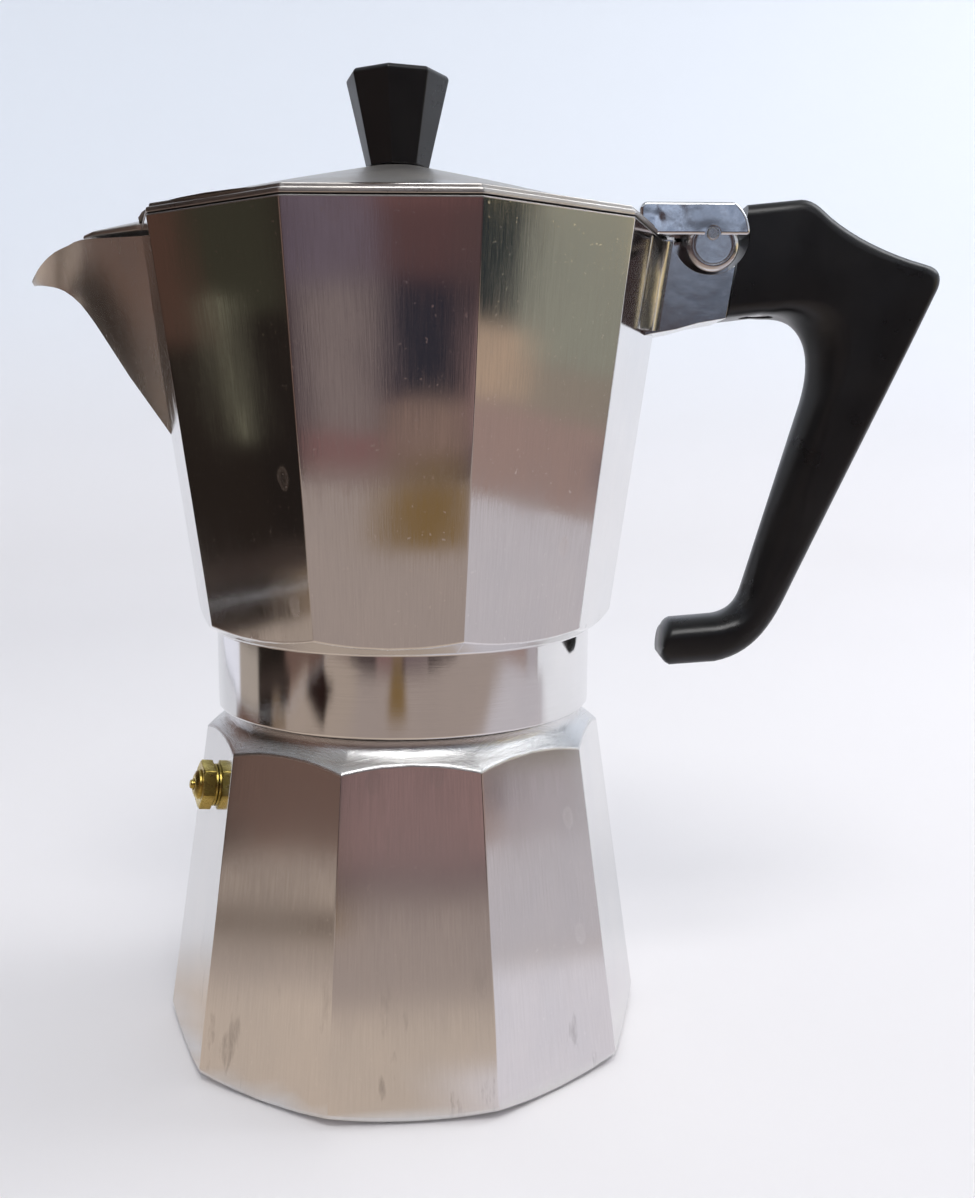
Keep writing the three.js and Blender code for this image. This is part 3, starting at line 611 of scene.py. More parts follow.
def jug_profile(angle, share):
    cone_slope, floor_slope, bore_r = 0.612, -0.04, THREAD_R + 0.4
    low_r, low_z = meet(share, COLLECTOR_CORNER, BAND_R, BAND_TOP_Z, cone_slope)
    across = abs(share * sin(angle)) if cos(angle) < 0 else 1
    notch = max(0, 1 - across / NOTCH_SHARE)
    rim_z = RIM_Z - notch * (RIM_Z - NOTCH_BOTTOM_Z)
    rim_r = corner_radius(COLLECTOR_CORNER, rim_z)
    z0, r0, z1, r1 = COLLECTOR_CORNER
    inner_corner = (z0, r0 - COLLECTOR_WALL, z1, r1 - COLLECTOR_WALL)
    inner_r, inner_z = meet(share, inner_corner, 60, 94.6, floor_slope)
    return rounded([
        (CHIMNEY_R, 98.8, 0.3, INSIDE), (FLOOR_EDGE_R, 92.8, 0.5, INSIDE),
        (FLOOR_EDGE_R, 91.5, 0, INSIDE), (SEAT_INNER_R, 91.5, 0, INSIDE),
        (SEAT_INNER_R, SEAT_Z, 0.2, TURNED), (SEAT_OUTER_R, SEAT_Z, 0.2, INSIDE),
        (SEAT_OUTER_R, SEAT_Z - 1.6, 0, INSIDE), (bore_r, SEAT_Z - 1.6, 0, TURNED),
        *thread(BAND_BOTTOM_Z + 1, SEAT_Z - 2, bore_r + 0.7, 0.7, angle, TURNED)[::-1],
        (bore_r + 0.6, BAND_BOTTOM_Z, 0.3, TURNED), (BAND_R, BAND_BOTTOM_Z, 0.7, TURNED),
        (BAND_R, BAND_TOP_Z, 0.35, TURNED), (low_r, low_z, 0.45, FACET),
        (share * rim_r, rim_z, 0.35, INSIDE), (share * (rim_r - COLLECTOR_WALL), rim_z, 0.5, INSIDE),
        (inner_r, inner_z, 3, INSIDE), (30, 95.8, 3, INSIDE), (9, 102, 0.6, INSIDE),
        (CHIMNEY_R, 102, 0.3, INSIDE),
    ])


# How far out, keel height, lip height and half width, from the wall to the tip.
SPOUT = (
    (61.2, 147.7, 176.2, 10.0),
    (65.0, 153.8, 176.2, 8.7),
    (68.2, 158.9, 176.1, 7.6),
    (70.0, 161.5, 175.7, 6.95),
    (71.4, 163.3, 175.1, 6.4),
    (73.2, 165.0, 174.5, 5.7),
    (74.8, 166.1, 173.9, 5.1),
    (76.2, 166.7, 173.1, 4.55),
    (77.4, 167.0, 172.3, 4.0),
    (78.7, 167.2, 171.2, 3.35),
    (79.7, 167.3, 170.2, 2.75),
    (80.7, 167.3, 169.0, 2.1),
    (81.5, 167.2, 168.0, 1.4),
)
SPOUT_WALL = 1.7
SPOUT_STEPS = (0, 0.04, 0.1, 0.2, 0.35, 0.5, 0.65, 0.8, 0.92, 1)


def spout_half(keel, lip, width):
    """(y, z) up one side of a section, from the keel to the lip."""
    return [(width * step**0.96, keel + (lip - keel) * step) for step in SPOUT_STEPS]


def spout_section(keel, lip, width):
    """(y, z) right round a section: over the outside, and back along the inside."""
    outside = spout_half(keel, lip, width)
    depth = lip - keel
    inner_keel = keel + min(2.4, 0.45 * depth)
    channel = spout_half(inner_keel, lip, max(width - SPOUT_WALL, 0.35 * width))
    around = [(-y, z) for y, z in outside[::-1]] + outside[1:]
    return around + channel[::-1] + [(-y, z) for y, z in channel[1:]]


def wall_x(y, z, depth):
    """X of the jug's wall beside the spout's corner, at a depth into the metal."""
    reach = corner_radius(COLLECTOR_CORNER, z) * APOTHEM - depth
    return -(reach - abs(y) * sin(HALF_FACET)) / cos(HALF_FACET)


def spout():
    root = [Vector((wall_x(y, z, 1.2), y, z)) for y, z in spout_section(132.6, 176.2, 13.1)]
    rings = [[Vector((-x, y, z)) for y, z in spout_section(*section)] for x, *section in SPOUT]
    between = [[a.lerp(b, share) for a, b in zip(root, rings[0])] for share in (0.33, 0.67)]
    rings = [root, *between, *rings]
    bm = bmesh.new()
    verts = skin(bm, rings, [0] * len(root), wrap=False)
    # Both ends close on a strip of quads from the outside across to the inside.
    half = 2 * len(SPOUT_STEPS) - 1
    for end in (verts[0], verts[-1]):
        for i in range(half - 1):
            bm.faces.new((end[i], end[i + 1], end[2 * half - 2 - i], end[2 * half - 1 - i]))
    made = mesh_object(bm, "collector_spout", [spout_metal], sharp=50)
    settle(made, "jug", "collector_aluminium")


def joint_x(z):
    """The line where the lug's end meets the handle."""
    return 69.9 + 0.165 * (z - 160.5)


def lug():
    bm = bmesh.new()
    swing = arc(HINGE, SWING_R, -48.5, -173, 24)
    plate(bm, [
        (52.4, 156.6), (54, 157), (59, 157.9), (64, 159.3), (joint_x(160.3) - 0.1, 160.3), (71.45, 171.2),
        *swing, (55.4, 176.6),
    ], LUG_HALF_WIDTH)
    made = mesh_object(bm, "collector_lug", [lug_metal])
    bevel(made, 0.8)
    even_normals(made)
    settle(made, "jug", "collector_aluminium")

    bm = bmesh.new()
    x, z = HINGE.x, HINGE.z
    plate(bm, [(x, z), (x - 9.5, z - 1.2), (x - 12, z - 9), (x + 4, z - 9.8), (x + 5.7, z - 2.4)], 3.5)
    half, hole_r = LUG_HALF_WIDTH, 1.4
    lathe(bm, [
        (hole_r, -half, 0), (KNUCKLE_R, -half, 0.5), (KNUCKLE_R, half, 0.5), (hole_r, half, 0),
    ], 64, HINGE_AXIS)
    settle(mesh_object(bm, "collector_knuckle", [lug_metal]), "jug", "collector_aluminium")
    for side in (-1, 1):
        lug_fillet(side)


def lug_fillet(side, on_side=3.0, on_facet=8.2):
    """The hollow curve where the lug's side runs out into the jug's facet."""
    bottom, top, steps = 157.6, 176.2, 12
    rings = []
    for step in range(steps + 1):
        z = bottom + (top - bottom) * step / steps
        wall = -wall_x(LUG_HALF_WIDTH, z, 0)
        corner = Vector((wall - 0.4, side * (LUG_HALF_WIDTH - 0.4)))
        on_lug = Vector((wall + on_side, side * (LUG_HALF_WIDTH + 0.02)))
        along = Vector((-sin(HALF_FACET), side * cos(HALF_FACET)))
        outwards = Vector((cos(HALF_FACET), side * sin(HALF_FACET)))
        foot = Vector((wall, side * LUG_HALF_WIDTH)) + along * on_facet
        hollow = curve(on_lug, (wall + 0.35, side * (LUG_HALF_WIDTH + 0.3)), foot + outwards * 0.1)
        plan = [hollow(i / 10) for i in range(11)] + [foot + along * 0.4 - outwards * 0.3, corner]
        rings.append([Vector((point.x, point.y, z)) for point in plan])
    bm = bmesh.new()
    verts = skin(bm, rings, [0] * len(rings[0]), wrap=False)
    bm.faces.new(verts[0])
    bm.faces.new(verts[-1][::-1])
    name = "lug_fillet_front" if side < 0 else "lug_fillet_back"
    settle(mesh_object(bm, name, [lug_metal], sharp=50), "jug", "collector_aluminium")


def collector():
    bm = bmesh.new()
    turn_profile(bm, polygon(FACETS, 0, 0.010), jug_profile)
    made = mesh_object(bm, "collector_jug", [collector_facets, polished_band, dull_metal])
    even_normals(made)
    settle(made, "jug", "collector_aluminium", "collector")
    spout()
    lug()


# ---- Handle ----


def curve(*points):
    """A function along a Bezier curve through its end points, or along a line."""

    def at(share):
        level = [Vector(p) for p in points]
        while len(level) > 1:
            level = [a.lerp(b, share) for a, b in zip(level, level[1:])]
        return level[0]

    return at


def part_of(path, start, end):
    return lambda share: path(start + (end - start) * share)


def handle():
    crook = curve((77.7, 161.5), (87.5, 161.5), (91.5, 153.6), (87.3, 139.9))
    # The outer edge, the inner edge beside it, and the number of sections along both.
    spans = (
        (curve((73.6, 184.2), (85.4, 185.4)), curve((70.2, 160.6), (77.7, 161.5)), 5),
        (curve((85.4, 185.4), (88, 185.4), (90.5, 183)), part_of(crook, 0, 0.2), 5),
        (curve((90.5, 183), (95, 178.9), (103, 174.6), (112.9, 172)), part_of(crook, 0.2, 0.55), 9),
        (curve((112.9, 172), (117, 171), (115.6, 167)), part_of(crook, 0.55, 0.66), 8),
        (curve((115.6, 167), (110, 154.2)), part_of(crook, 0.66, 1), 7),
        (curve((110, 154.2), (86, 99.6)), curve((87.3, 139.9), (75.7, 100.6)), 16),
        (curve((86, 99.6), (82.6, 91.9), (78.6, 86.3), (70.5, 84.6)),
         curve((75.7, 100.6), (74.2, 96.4), (70.4, 95.8)), 12),
        (curve((70.5, 84.6), (60.3, 83.8)), curve((70.4, 95.8), (60.9, 94.9)), 6),
        (curve((60.3, 83.8), (59, 84.3), (58.5, 85.4)), curve((60.9, 94.9), (59.8, 94.6), (59.3, 93.2)), 3),
    )
    pairs = [(outer(i / count), inner(i / count)) for outer, inner, count in spans for i in range(count)]
    pairs.append((spans[-1][0](1), spans[-1][1](1)))
    columns = [handle_section(outer, inner) for outer, inner in pairs]
    last = columns[-1]
    middle = sum(last, Vector()) / len(last)
    columns.append([middle + (point - middle) * 0.9 + Vector((-0.35, 0, 0)) for point in last])
    bm = bmesh.new()
    verts = skin(bm, columns, [0] * len(columns[0]), wrap=False)
    bm.faces.new(verts[0])
    bm.faces.new(verts[-1][::-1])
    made = mesh_object(bm, "handle_grip", [phenolic], sharp=50)
    screw_x = (low("handle_screw").x + high("handle_screw").x) / 2
    recess = [(0, 158, 0), (3.9, 158, 0), (3.7, 163.4, 0), (0, 163.4, 0)]
    for cutter in (
        turned("swing_space", [], rod(SWING_R, -THROUGH, THROUGH), 96, HINGE_AXIS),
        flat_cutter("open_saddle_space", open_saddle_space(), THROUGH),
        turned("screw_recess", [], recess, 48, Matrix.Translation((screw_x, 0, 0))),
    ):
        carve(made, cutter, sharp=50)
    settle(made, "jug", "black_phenolic", "handle")


def open_saddle_space():
    """The outline that the saddle's top takes over the hinge when the lid is fully open."""
    tilt = radians(LID_OPENS - 90)
    reach = high("lid_hinge").z - HINGE.z + 0.2
    over = 20
    low_x = HINGE.x + reach / cos(tilt)
    high_x = low_x + over * tan(tilt)
    return [(HINGE.x, HINGE.z), (low_x, HINGE.z), (high_x, HINGE.z + over), (HINGE.x, HINGE.z + over)]


def handle_section(outer, inner):
    """A rounded rectangle from the outer to the inner edge, as deep as the handle is at that height.
    Its inner corners are wider where the fingers go, and run almost to an edge on the upright part."""
    plain_round = 2.9
    height = (outer.y + inner.y) / 2
    half = 6.9 + 2.3 * soft_step(height, 95, 160)
    grip = 1 if height < 140 else soft_step(inner.x, 79, 86)
    along = (outer - inner).normalized()
    inner = inner + along * 0.9 * grip
    length = (outer - inner).length
    upright = grip * soft_step(along.x, 0.3, 0.9)
    reach = plain_round + 1.3 * grip + min(4.5, length - 8.5) * upright
    depth = plain_round + (half - 3.7) * grip
    # Centre along and across the section, the two radii, first angle, and power of the corner's curve.
    corners = (
        (length - plain_round, half - plain_round, plain_round, plain_round, 0, 1),
        (reach, half - depth, reach, depth, 90, 1 + 0.3 * upright),
    )
    steps = 6
    points = []
    for side, order in ((1, corners), (-1, corners[::-1])):
        for centre, offset, reach, depth, start, power in order:
            for step in range(steps + 1):
                turn = 90 * step / steps
                angle = radians(start + turn if side > 0 else start + 90 - turn)
                cosine = cos(angle)
                flat = inner + along * (centre + reach * copysign(abs(cosine) ** power, cosine))
                y = offset + depth * abs(sin(angle)) ** power
                points.append(Vector((flat.x, side * y, flat.y)))
        if side > 0:
            points.append(points[-1].lerp(Vector((points[-1].x, -points[-1].y, points[-1].z)), 0.5))
    return points


# ---- Lid ----


def lid():
    edge_r = RIM_R
    columns = []
    for angle, share in polygon(FACETS, 0, 0.016):
        direction = Vector((cos(angle), sin(angle), 0))

        def dome(r, z):
            return Vector((LID_CENTRE_X, 0, z)) + direction * r

        def edge(r, z):
            return Vector((0, 0, z)) + direction * share * r

        slope = (DOME_TOP_Z - LID_Z - 1.9) / (DOME_R - DOME_TOP_R)
        outside = rounded([
            (0, DOME_TOP_Z, 0), (DOME_TOP_R, DOME_TOP_Z, 0.8),
            (30, DOME_TOP_Z - (30 - DOME_TOP_R) * slope + 0.25, 8), (DOME_R, LID_Z + 1.9, 1.2),
            (DOME_R + 1.5, LID_Z + 1.8, 0),
        ], 6)
        flange = rounded([
            (edge_r - 2.5, LID_Z + 1.8, 0), (edge_r - 0.75, LID_Z + 1.8, 0.2),
            (edge_r - 0.7, LID_Z + 1.05, 0.1), (edge_r - 0.1, LID_Z + 1.0, 0.2), (edge_r, LID_Z, 0.3),
            (edge_r - 4, LID_Z, 0),
        ])
        underside = rounded([
            (51, LID_Z, 0.3), (51, LID_Z + 0.9, 0.5), (DOME_TOP_R, DOME_TOP_Z - LID_SKIN, 2),
            (0, DOME_TOP_Z - LID_SKIN, 0),
        ])
        over = [dome(r, z) for r, z, _ in outside]
        under = [dome(r, z) for r, z, _ in underside]
        columns.append(over + [edge(r, z) for r, z, _ in flange] + under)
    bm = bmesh.new()
    skin(bm, columns, [0] * len(columns[0]), closed=False)
    made = mesh_object(bm, "lid_cover", [lid_metal])
    even_normals(made)
    settle(made, "cover", "lid_aluminium", "lid")

    bm = bmesh.new()
    for x, y, bottom, top in (
        (-50, 13.6, 0, 1.5), (-55, 12.4, 0, 1.3), (-66, 7, -0.5, 0.5), (-69.3, 3.2, -0.6, 0.1),
    ):
        for z in (LID_Z + bottom, LID_Z + top):
            bm.verts.new(Vector((x, y, z)) * MM)
            bm.verts.new(Vector((x, -y, z)) * MM)
    for x, z in ((-50, 182), (-58, 181.2), (-68.6, 178.7)):
        bm.verts.new(Vector((x, 0, z)) * MM)
    bmesh.ops.convex_hull(bm, input=bm.verts)
    bmesh.ops.dissolve_limit(bm, angle_limit=0.01, verts=bm.verts, edges=bm.edges)
    made = mesh_object(bm, "lid_beak", [lid_metal])
    bevel(made, 0.35, angle=12)
    even_normals(made)
    settle(made, "cover", "lid_aluminium")


def knob():
    bottom, top = low("knob").z, high("knob").z
    centre = Matrix.Translation((LID_CENTRE_X, 0, 0))

    def profile(angle, share):
        return rounded([
            (0, bottom, 0), (6.9 * share, bottom, 0.3), (11.3 * share, top - 0.8, 0.5),
            (10.6 * share, top, 0.5), (0, top, 0),
        ], 4)

    bm = bmesh.new()
    turn_profile(bm, polygon(8, radians(-96), 0.06, along=(0.05, 0.5, 0.95), arc=6), profile, centre)
    made = mesh_object(bm, "knob_grip", [phenolic])
    even_normals(made)
    settle(made, "cover", "black_phenolic", "knob")


# ---- Inner pieces ----


def perforate(piece, r, spacing, hole_r, bottom, top):
    """Punches a lattice of round holes out to a radius."""
    cutter = bmesh.new()
    row_gap = spacing * 0.866
    rows = int(r / row_gap) + 1
    for row in range(-rows, rows + 1):
        for column in range(-rows - 1, rows + 2):
            x, y = (column + (row % 2) / 2) * spacing, row * row_gap
            if hypot(x, y) + hole_r < r:
                lathe(cutter, rod(hole_r, bottom, top), 10, Matrix.Translation((x, y, 0)))
    carve(piece, mesh_object(cutter, "punch", []))


def funnel():
    bowl_z, tube_bottom, tube_top = 62.0, 7, 55
    bowl = turned("funnel_bowl", [dull_metal], [
        (33.6, 86.3, 0.5), (38.3, 86.3, 0.3), (38.3, 87.3, 0.3), (32.5, 87.3, 0.8),
        (31.2, bowl_z + 1, 0.6), (30, bowl_z, 0.5), (6.6, 57.6, 1), (4.6, 55.6, 0.3),
        (4.6, 50, 0.2), (5.6, 50, 0.2), (5.6, 55.2, 1), (7.2, 56.6, 1),
        (30.8, bowl_z - 1.2, 1.5), (32.3, bowl_z + 0.6, 1),
    ])
    settle(bowl, "funnel", "funnel_aluminium", "funnel_cup")
    tube = turned("funnel_tube", [dull_metal], [
        (3.6, tube_bottom, 0.1), (4.9, tube_bottom, 0.2), (4.3, tube_bottom + 2, 0.3),
        (4.3, tube_top, 0), (3.6, tube_top, 0),
    ], 64)
    settle(tube, "funnel", "funnel_aluminium", "funnel_stem")
    bottom, top = low("funnel_screen").z, high("funnel_screen").z
    disc = [(0, bottom, 0), (30.7, bottom, 0.2), (30.7, top, 0.2), (0, top, 0)]
    screen = turned("funnel_sieve", [dull_metal], disc)
    perforate(screen, 29, 3.4, 0.8, bottom - 1, top + 1)
    settle(screen, "funnel", "funnel_aluminium", "funnel_screen")


def seal():
    bottom, top = low("gasket").z, high("gasket").z
    section = [(29.2, bottom, 0.3), (37.6, bottom, 0.6), (37.6, top, 0.6), (29.2, top, 0.3)]
    settle(turned("gasket_ring", [gasket_rubber], section), "seal", "gasket_rubber", "gasket")
    bottom, top = low("filter_plate").z, high("filter_plate").z
    strainer = turned("strainer_disc", [dull_metal], [
        (0, bottom + 0.9, 0), (25, bottom + 0.9, 0.6), (27, bottom, 0.6), (32.5, bottom, 0.2),
        (32.5, bottom + 0.8, 0.2), (27.3, bottom + 0.8, 0.6), (25.3, top, 0.6), (0, top, 0),
    ])
    perforate(strainer, 24, 2.9, 0.65, bottom - 1, top + 1)
    settle(strainer, "strainer", "funnel_aluminium", "filter_plate")


def riser():
    bottom, top = low("riser_column").z, high("riser_column").z
    collar_z = 102.3
    made = turned("riser_tube", [dull_metal], [
        (4.4, bottom, 0.1), (5.9, bottom, 0.3), (5.9, collar_z, 0), (9, collar_z, 0.2),
        (9, collar_z + 1, 0.4), (7.6, collar_z + 2.4, 1.5), (5.6, top - 6, 1),
        (5.6, top - 1.6, 1.5), (3.2, top, 2), (0, top, 0), (0, top - 3, 0),
        (3.8, top - 4, 0.5),
    ], 80)
    slot = [(-10, top - 9), (10, top - 9), (10, top - 4.6), (-10, top - 4.6)]
    carve(made, flat_cutter("coffee_slot", slot, 1.8))
    settle(made, "jug", "funnel_aluminium", "riser_column")


def hinge():
    """The saddle is a folded plate with two rounded ears that straddle the lug's knuckle."""
    x, z = HINGE.x, HINGE.z
    half, lug_space = high("lid_hinge").y, LUG_HALF_WIDTH + 0.3
    top, bottom, front = high("lid_hinge").z, z - 0.3, 50.6
    bm = bmesh.new()
    plate(bm, [
        (front, bottom + 1.5), (front, top - 1), (front + 1, top),
        *arc(HINGE, SADDLE_R + 0.1, 55, 5, 9), (x + SADDLE_R, bottom), (54, bottom),
    ], half)
    saddle = mesh_object(bm, "hinge_saddle", [hinge_metal], sharp=30)
    bevel(saddle, 1.15, 5)

    def block(left, high_z, half_width):
        right, low_z = x + 10, 160
        corners = [(left, low_z), (right, low_z), (right, high_z), (left, high_z)]
        return flat_cutter("hinge_space", corners, half_width)

    for cutter in (
        turned("knuckle_space", [], rod(KNUCKLE_R + 0.4, -lug_space, lug_space), 72, HINGE_AXIS),
        lid_cutter(),
        block(x - 6.2, bottom + 0.01, lug_space),
        block(x + 1, 190, 3.8),
        turned("pin_hole", [], rod(1.75, -THROUGH, THROUGH), 72, HINGE_AXIS),
    ):
        carve(saddle, cutter)
    even_normals(saddle)
    settle(saddle, "cover", "hinge_metal", "lid_hinge")
    for side in (-1, 1):
        ear(side, half, lug_space)
    end = high("hinge_pin").y - 0.35
    tip = [(0, -end, 0), (1.1, -end, 0), (1.35, -end + 0.35, 0.2)]
    other_tip = [(r, -y, rounding) for r, y, rounding in tip[::-1]]
    settle(turned("hinge_rod", [steel], tip + other_tip, 40, HINGE_AXIS), "cover", "steel", "hinge_pin")


def ear(side, half, inner):
    """A round ear below the saddle's side, with a soft rim round a flat face."""
    centre = Vector((HINGE.x + 0.2, 0, HINGE.z - 2.2))
    outwards = Matrix.Translation(centre) @ Matrix.Rotation(-side * pi / 2, 4, "X")
    name = "hinge_ear_left" if side < 0 else "hinge_ear_right"
    made = turned(name, [lug_metal], [
        (0, inner, 0), (5.5, inner, 0.2), (5.6, half - 0.9, 1.0), (4.5, half - 0.25, 0.9),
        (3.9, half - 0.4, 0.5), (0, half - 0.4, 0),
    ], 72, outwards)
    even_normals(made)
    settle(made, "cover", "hinge_metal")


def lid_cutter():
    """The space that the lid's edge and dome take under the saddle."""
    edge_r, edge_z, top_r, top_z = 55, LID_Z + 2, 7, DOME_TOP_Z + 0.3
    outline = [(0, 170, 0), (edge_r, 170, 0), (edge_r, edge_z, 0), (top_r, top_z, 0), (0, top_z, 0)]
    return turned("lid_space", [], outline, matrix=Matrix.Translation((LID_CENTRE_X, 0, 0)))


def finish_small_nodes():
    """CAD pieces whose shape is right get their material."""
    brass_nodes = ["valve_retainer", "knob_insert"]
    steel_nodes = [
        "valve_spring", "handle_screw", "lid_rivet_left", "lid_rivet_right", "knob_washer", "knob_screw",
    ]
    for name in brass_nodes + steel_nodes:
        material = brass if name in brass_nodes else steel
        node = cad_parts[name]
        node.data.materials.clear()
        node.data.materials.append(material)
        weld = node.modifiers.new("One surface", "WELD")
        weld.merge_threshold = 1e-6
        bevel(node, 0.12, 2, angle=40)
        even_normals(node)
        node.data.shade_smooth()


# ---- Stage ----


def backdrop():
    """Matt white, a little warmer on the floor than up the wall: a painted tint for warmer light on the
    floor and cooler light on the wall.
    """
    nodes = Nodes("backdrop")
    height = nodes.add("ShaderNodeSeparateXYZ", {0: nodes.space(1, 1, 1)}, 2)
    rise = nodes.scale(height, 0.0, 0.35, 0, 1, smooth=True)
    nodes.set(Base_Color=nodes.mix(rise, (0.87, 0.84, 0.84, 1), (0.84, 0.87, 0.92, 1)))
    nodes.set(Roughness=1.0, Specular_IOR_Level=0.0)
    return nodes.material


def painted_reflection_glow():
    """Glows with the colour stored at each point, as painted reflections with no lamp behind them, and is
    clear where the stored alpha is 0.
    """
    nodes = Nodes("painted_reflection_card")
    nodes.tree.nodes.remove(nodes.shader)
    colour = nodes.add("ShaderNodeAttribute", {}, "Color", attribute_name="light")
    alpha = nodes.add("ShaderNodeAttribute", {}, "Alpha", attribute_name="light")
    clear = nodes.add("ShaderNodeBsdfTransparent", {})
    glow = nodes.add("ShaderNodeEmission", {"Color": colour})
    mixed = nodes.add("ShaderNodeMixShader", {0: alpha, 1: clear, 2: glow})
    nodes.put(nodes.tree.nodes["Material Output"].inputs["Surface"], mixed)
    return nodes.material


def floor():
    """A pale disc that sweeps up into a round wall, like the inside of a light tent."""
    bm = bmesh.new()
    lathe(bm, [(0, 0, 0), (900, 0, 300), (1150, 1400, 0)], 96)
    made = mesh_object(bm, "floor", [backdrop()], sharp=80)


METAL_RETURN = 0.67  # the share of a card's light that comes back from the bare metal


def seen(colour):
    """The light that a card needs to show as this screen colour (0 to 255) in bare metal."""
    return Vector([(part / 255) ** 2.2 / METAL_RETURN for part in colour])


def painted_reflection_card(name, rows, columns, point_at, base, patches, fade=None):
    """A glowing card of painted reflections, with no lamp behind it, that only shows in reflections.
    point_at gives the place of a (row, column) share and its two flat coordinates. A patch is (left, right,
    bottom, top, softness, colour) of painted light or shade."""
    bm = bmesh.new()
    light = bm.verts.layers.float_color.new("light")
    grid = []
    for row in range(rows + 1):
        line = []
        for column in range(columns + 1):
            place, a, b = point_at(row / rows, column / columns)
            colour = seen(base)
            for left, right, bottom, top, soft, patch in patches:
                share = inside(a, left, right, soft) * inside(b, bottom, top, soft)
                colour = colour.lerp(seen(patch), share)
            vert = bm.verts.new(Vector(place) * MM)
            vert[light] = (*colour, fade(place) if fade else 1)
            line.append(vert)
        grid.append(line)
    for lower, upper in zip(grid, grid[1:]):
        for i in range(columns):
            bm.faces.new((lower[i], lower[i + 1], upper[i + 1], upper[i]))
    mesh = bpy.data.meshes.new(name)
    bm.to_mesh(mesh)
    bm.free()
    mesh.materials.append(painted_reflection_glow())
    made = add_object(name, mesh)
    for ray in ("camera", "diffuse", "shadow", "transmission", "volume_scatter"):
        setattr(made, "visible_" + ray, False)


def upright(start, end, bottom, top, place):
    """Flat coordinates for an upright card between two sides and two heights."""

    def point_at(row, column):
        a = start + (end - start) * column
        z = bottom + (top - bottom) * row
        return place(a, z), a, z

    return point_at


def front_painted_reflection():
    """Painted reflections of what stands in front of the pot: dim glowing cards, with a paler one low in
    the middle.
    """
    patches = (
        (-360, -230, 0, 430, 8, (97, 78, 71)),
        (-90, -36, 102, 200, 6, (95, 84, 92)),
        (-36, 30, 102, 165, 6, (80, 60, 60)),
        (-45, 10, 143, 149, 4, (104, 76, 74)),
        (-82, -77, 30, 140, 3, (60, 50, 60)),
        (-76, -38, 26, 104, 3, (112, 100, 98)),
        (-38, -32, 40, 104, 3, (85, 70, 75)),
        (-34, 11, 44, 106, 6, (42, 42, 49)),
        (7, 20, 30, 140, 3, (75, 62, 62)),
        (-80, -33, 10, 27, 3, (113, 84, 83)),
        (-33, 10, 12, 46, 4, (118, 98, 90)),
        (-28, 6, 0, 12, 3, (108, 89, 66)),
        (-82, -28, 0, 10, 3, (122, 104, 100)),
        (15, 130, 12, 90, 6, (128, 104, 102)),
        (15, 130, 6, 20, 5, (92, 80, 83)),
        (15, 130, 0, 6, 4, (140, 125, 120)),
        (95, 190, 232, 310, 8, (160, 172, 194)),
        (125, 160, 250, 285, 10, (105, 115, 135)),
        (95, 190, 185, 232, 6, (80, 86, 98)),
    )
    place = upright(-350, 450, 0, 420, lambda x, z: (x, -450, z))
    painted_reflection_card("front_painted_reflection", 70, 200, place, (60, 50, 50), patches)


def left_painted_reflection():
    # Painted reflections of the left side: a dark glowing card with paler and darker painted patches.
    patches = (
        (-66, -40, 120, 200, 5, (72, 54, 47)),
        (-110, -66, 125, 190, 5, (52, 50, 42)),
        (-79, -69, 72, 138, 4, (104, 101, 86)),
        (-110, -78, 20, 125, 4, (34, 30, 28)),
        (-105, -78, 0, 18, 3, (112, 96, 82)),
        (-430, -130, 0, 430, 8, (97, 78, 71)),
        (-270, -145, 0, 8, 3, (150, 135, 125)),
        (-25, 140, 0, 35, 4, (150, 140, 132)),
        (150, 410, 80, 430, 20, (97, 78, 71)),
        (105, 410, 0, 70, 8, (205, 205, 215)),
        (-145, -30, 7, 20, 3, (56, 48, 45)),
    )
    place = upright(-448, 400, 0, 420, lambda y, z: (-350, y, z))
    painted_reflection_card("left_painted_reflection", 84, 160, place, (38, 33, 30), patches)


def right_painted_reflection():
    # Painted reflections of the right side, with a painted gold highlight for the lug's fillet and the
    # collector's facets.
    patches = (
        (-448, -174, 96, 250, 8, (36, 42, 45)),
        (-174, -108, 81, 250, 8, (126, 125, 114)),
        (-230, -108, 178, 260, 6, (250, 222, 165)),
        (-104, -40, 140, 260, 4, (250, 222, 165)),
        (-448, -165, 56, 96, 6, (158, 136, 118)),
        (-448, -105, 0, 56, 6, (138, 117, 111)),
        (-165, -110, 56, 81, 5, (128, 118, 108)),
        (-105, -50, 0, 38, 5, (157, 149, 153)),
        (-113, -98, 18, 42, 4, (88, 82, 88)),
    )
    place = upright(-448, -45, 0, 250, lambda y, z: (450, y, z))
    painted_reflection_card("right_painted_reflection", 50, 80, place, (120, 112, 104), patches)


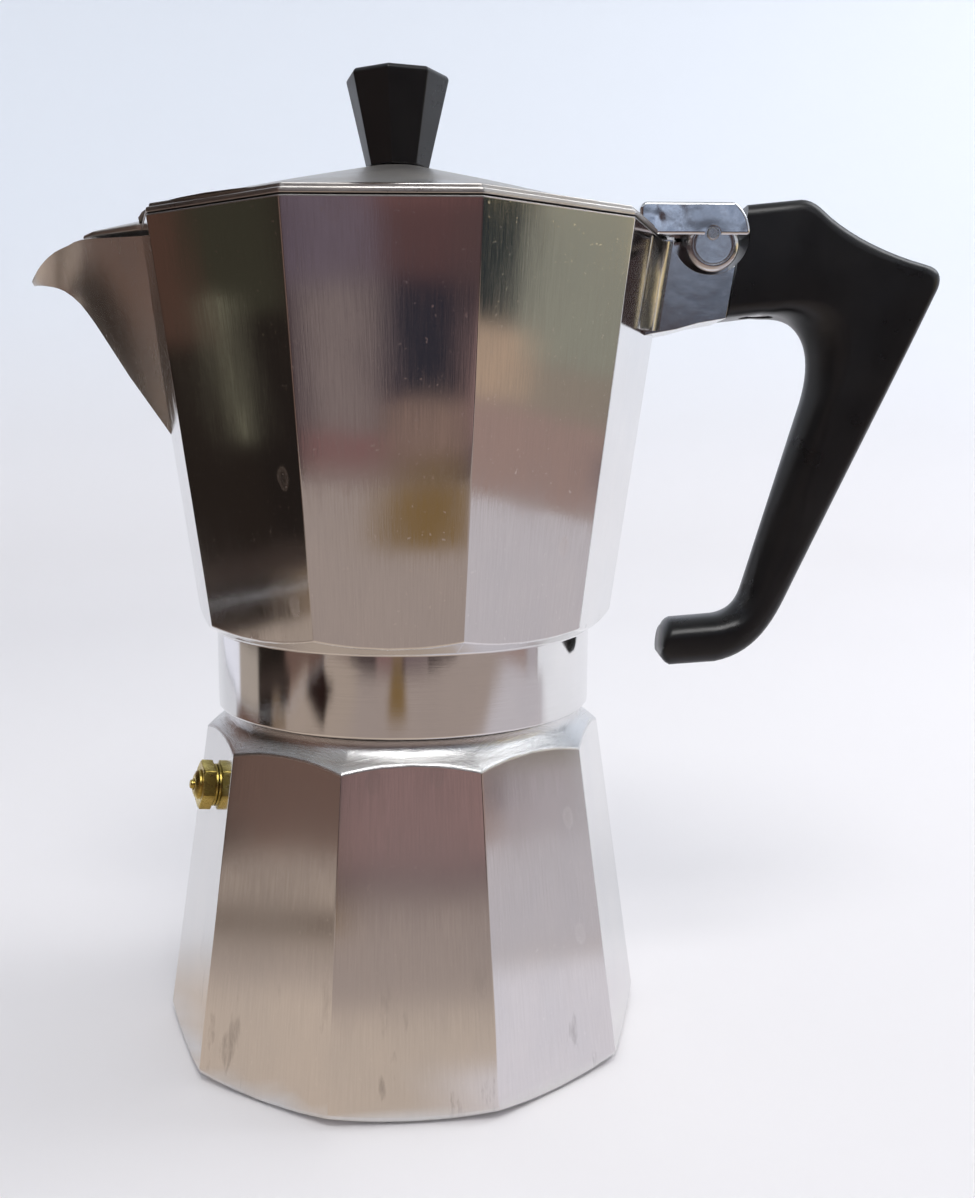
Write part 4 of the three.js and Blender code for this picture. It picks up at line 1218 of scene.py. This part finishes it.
def floor_painted_reflection():
    """A glowing card that paints the floor's reflection in the pot's front: painted shade away from the
    pot, and paler on the right.
    """
    left, width, front, length = -345, 790, -448, 600

    def point_at(row, column):
        x, y = left + width * column, front + length * row
        return (x, y, 0.5), x, y

    def fade(place):
        x, y, _ = place
        end = 40 + 110 * soft_step(x, -170, -230)
        return soft_step(hypot(x, y), 54, 62) * soft_step(y, end, end - 60)

    patches = (
        (-345, -150, -448, 60, 40, (148, 134, 124)),
        (-130, 160, -170, 60, 35, (172, 157, 145)),
        (150, 500, -210, 60, 40, (173, 167, 171)),
        (20, 150, -90, 60, 15, (198, 193, 199)),
        (-240, -185, -200, -30, 10, (104, 92, 84)),
        (-360, -210, -40, 160, 10, (97, 78, 71)),
        (-360, -300, -75, -25, 6, (42, 36, 33)),
        (-360, -300, -115, -75, 5, (112, 96, 82)),
        (-34, 14, -448, -350, 11, (110, 88, 58)),
        (-345, -235, -345, -240, 6, (30, 18, 16)),
    )
    painted_reflection_card("floor_painted_reflection", 75, 99, point_at, (143, 130, 124), patches, fade)


def lights():
    world = bpy.data.worlds.new("studio")
    bpy.context.scene.world = world
    world.use_nodes = True
    background = world.node_tree.nodes["Background"]
    background.inputs["Color"].default_value = (0.92, 0.96, 1.0, 1)
    background.inputs["Strength"].default_value = 0.51
    for name, place, target, size, power, colour in (
        ("key", (60, -560, 900), (0, 0, 100), 400, 3.9, (1.0, 0.99, 0.98)),
        ("fill", (600, 200, 750), (150, 700, 250), 500, 3.5, (0.95, 0.97, 1.0)),
    ):
        data = bpy.data.lights.new(name, "AREA")
        data.size = size * MM
        data.energy = power
        data.color = colour
        lamp = add_object(name, data)
        lamp.location = Vector(place) * MM
        lamp.rotation_euler = (Vector(target) - Vector(place)).to_track_quat("-Z", "Y").to_euler()
        lamp.visible_camera = False
    bpy.context.scene.view_settings.view_transform = "Standard"


def camera():
    """At the height of the collector's middle, a little towards the handle, looking down."""
    data = bpy.data.cameras.new("camera")
    data.lens = 36.37
    data.sensor_width = 36
    data.clip_start = 0.01
    made = add_object("camera", data)
    made.location = Vector((19.0, -274.4, 137.0)) * MM
    pitch, roll = radians(90 - 8.0955), radians(0.325)
    turn = Matrix.Rotation(pitch, 4, "X") @ Matrix.Rotation(roll, 4, "Z")
    made.rotation_euler = turn.to_euler()
    bpy.context.scene.camera = made


camera()
boiler()
valve()
collector()
handle()
lid()
hinge()
knob()
funnel()
seal()
riser()
finish_small_nodes()
floor()
front_painted_reflection()
left_painted_reflection()
right_painted_reflection()
floor_painted_reflection()
lights()

bpy.context.view_layer.update()
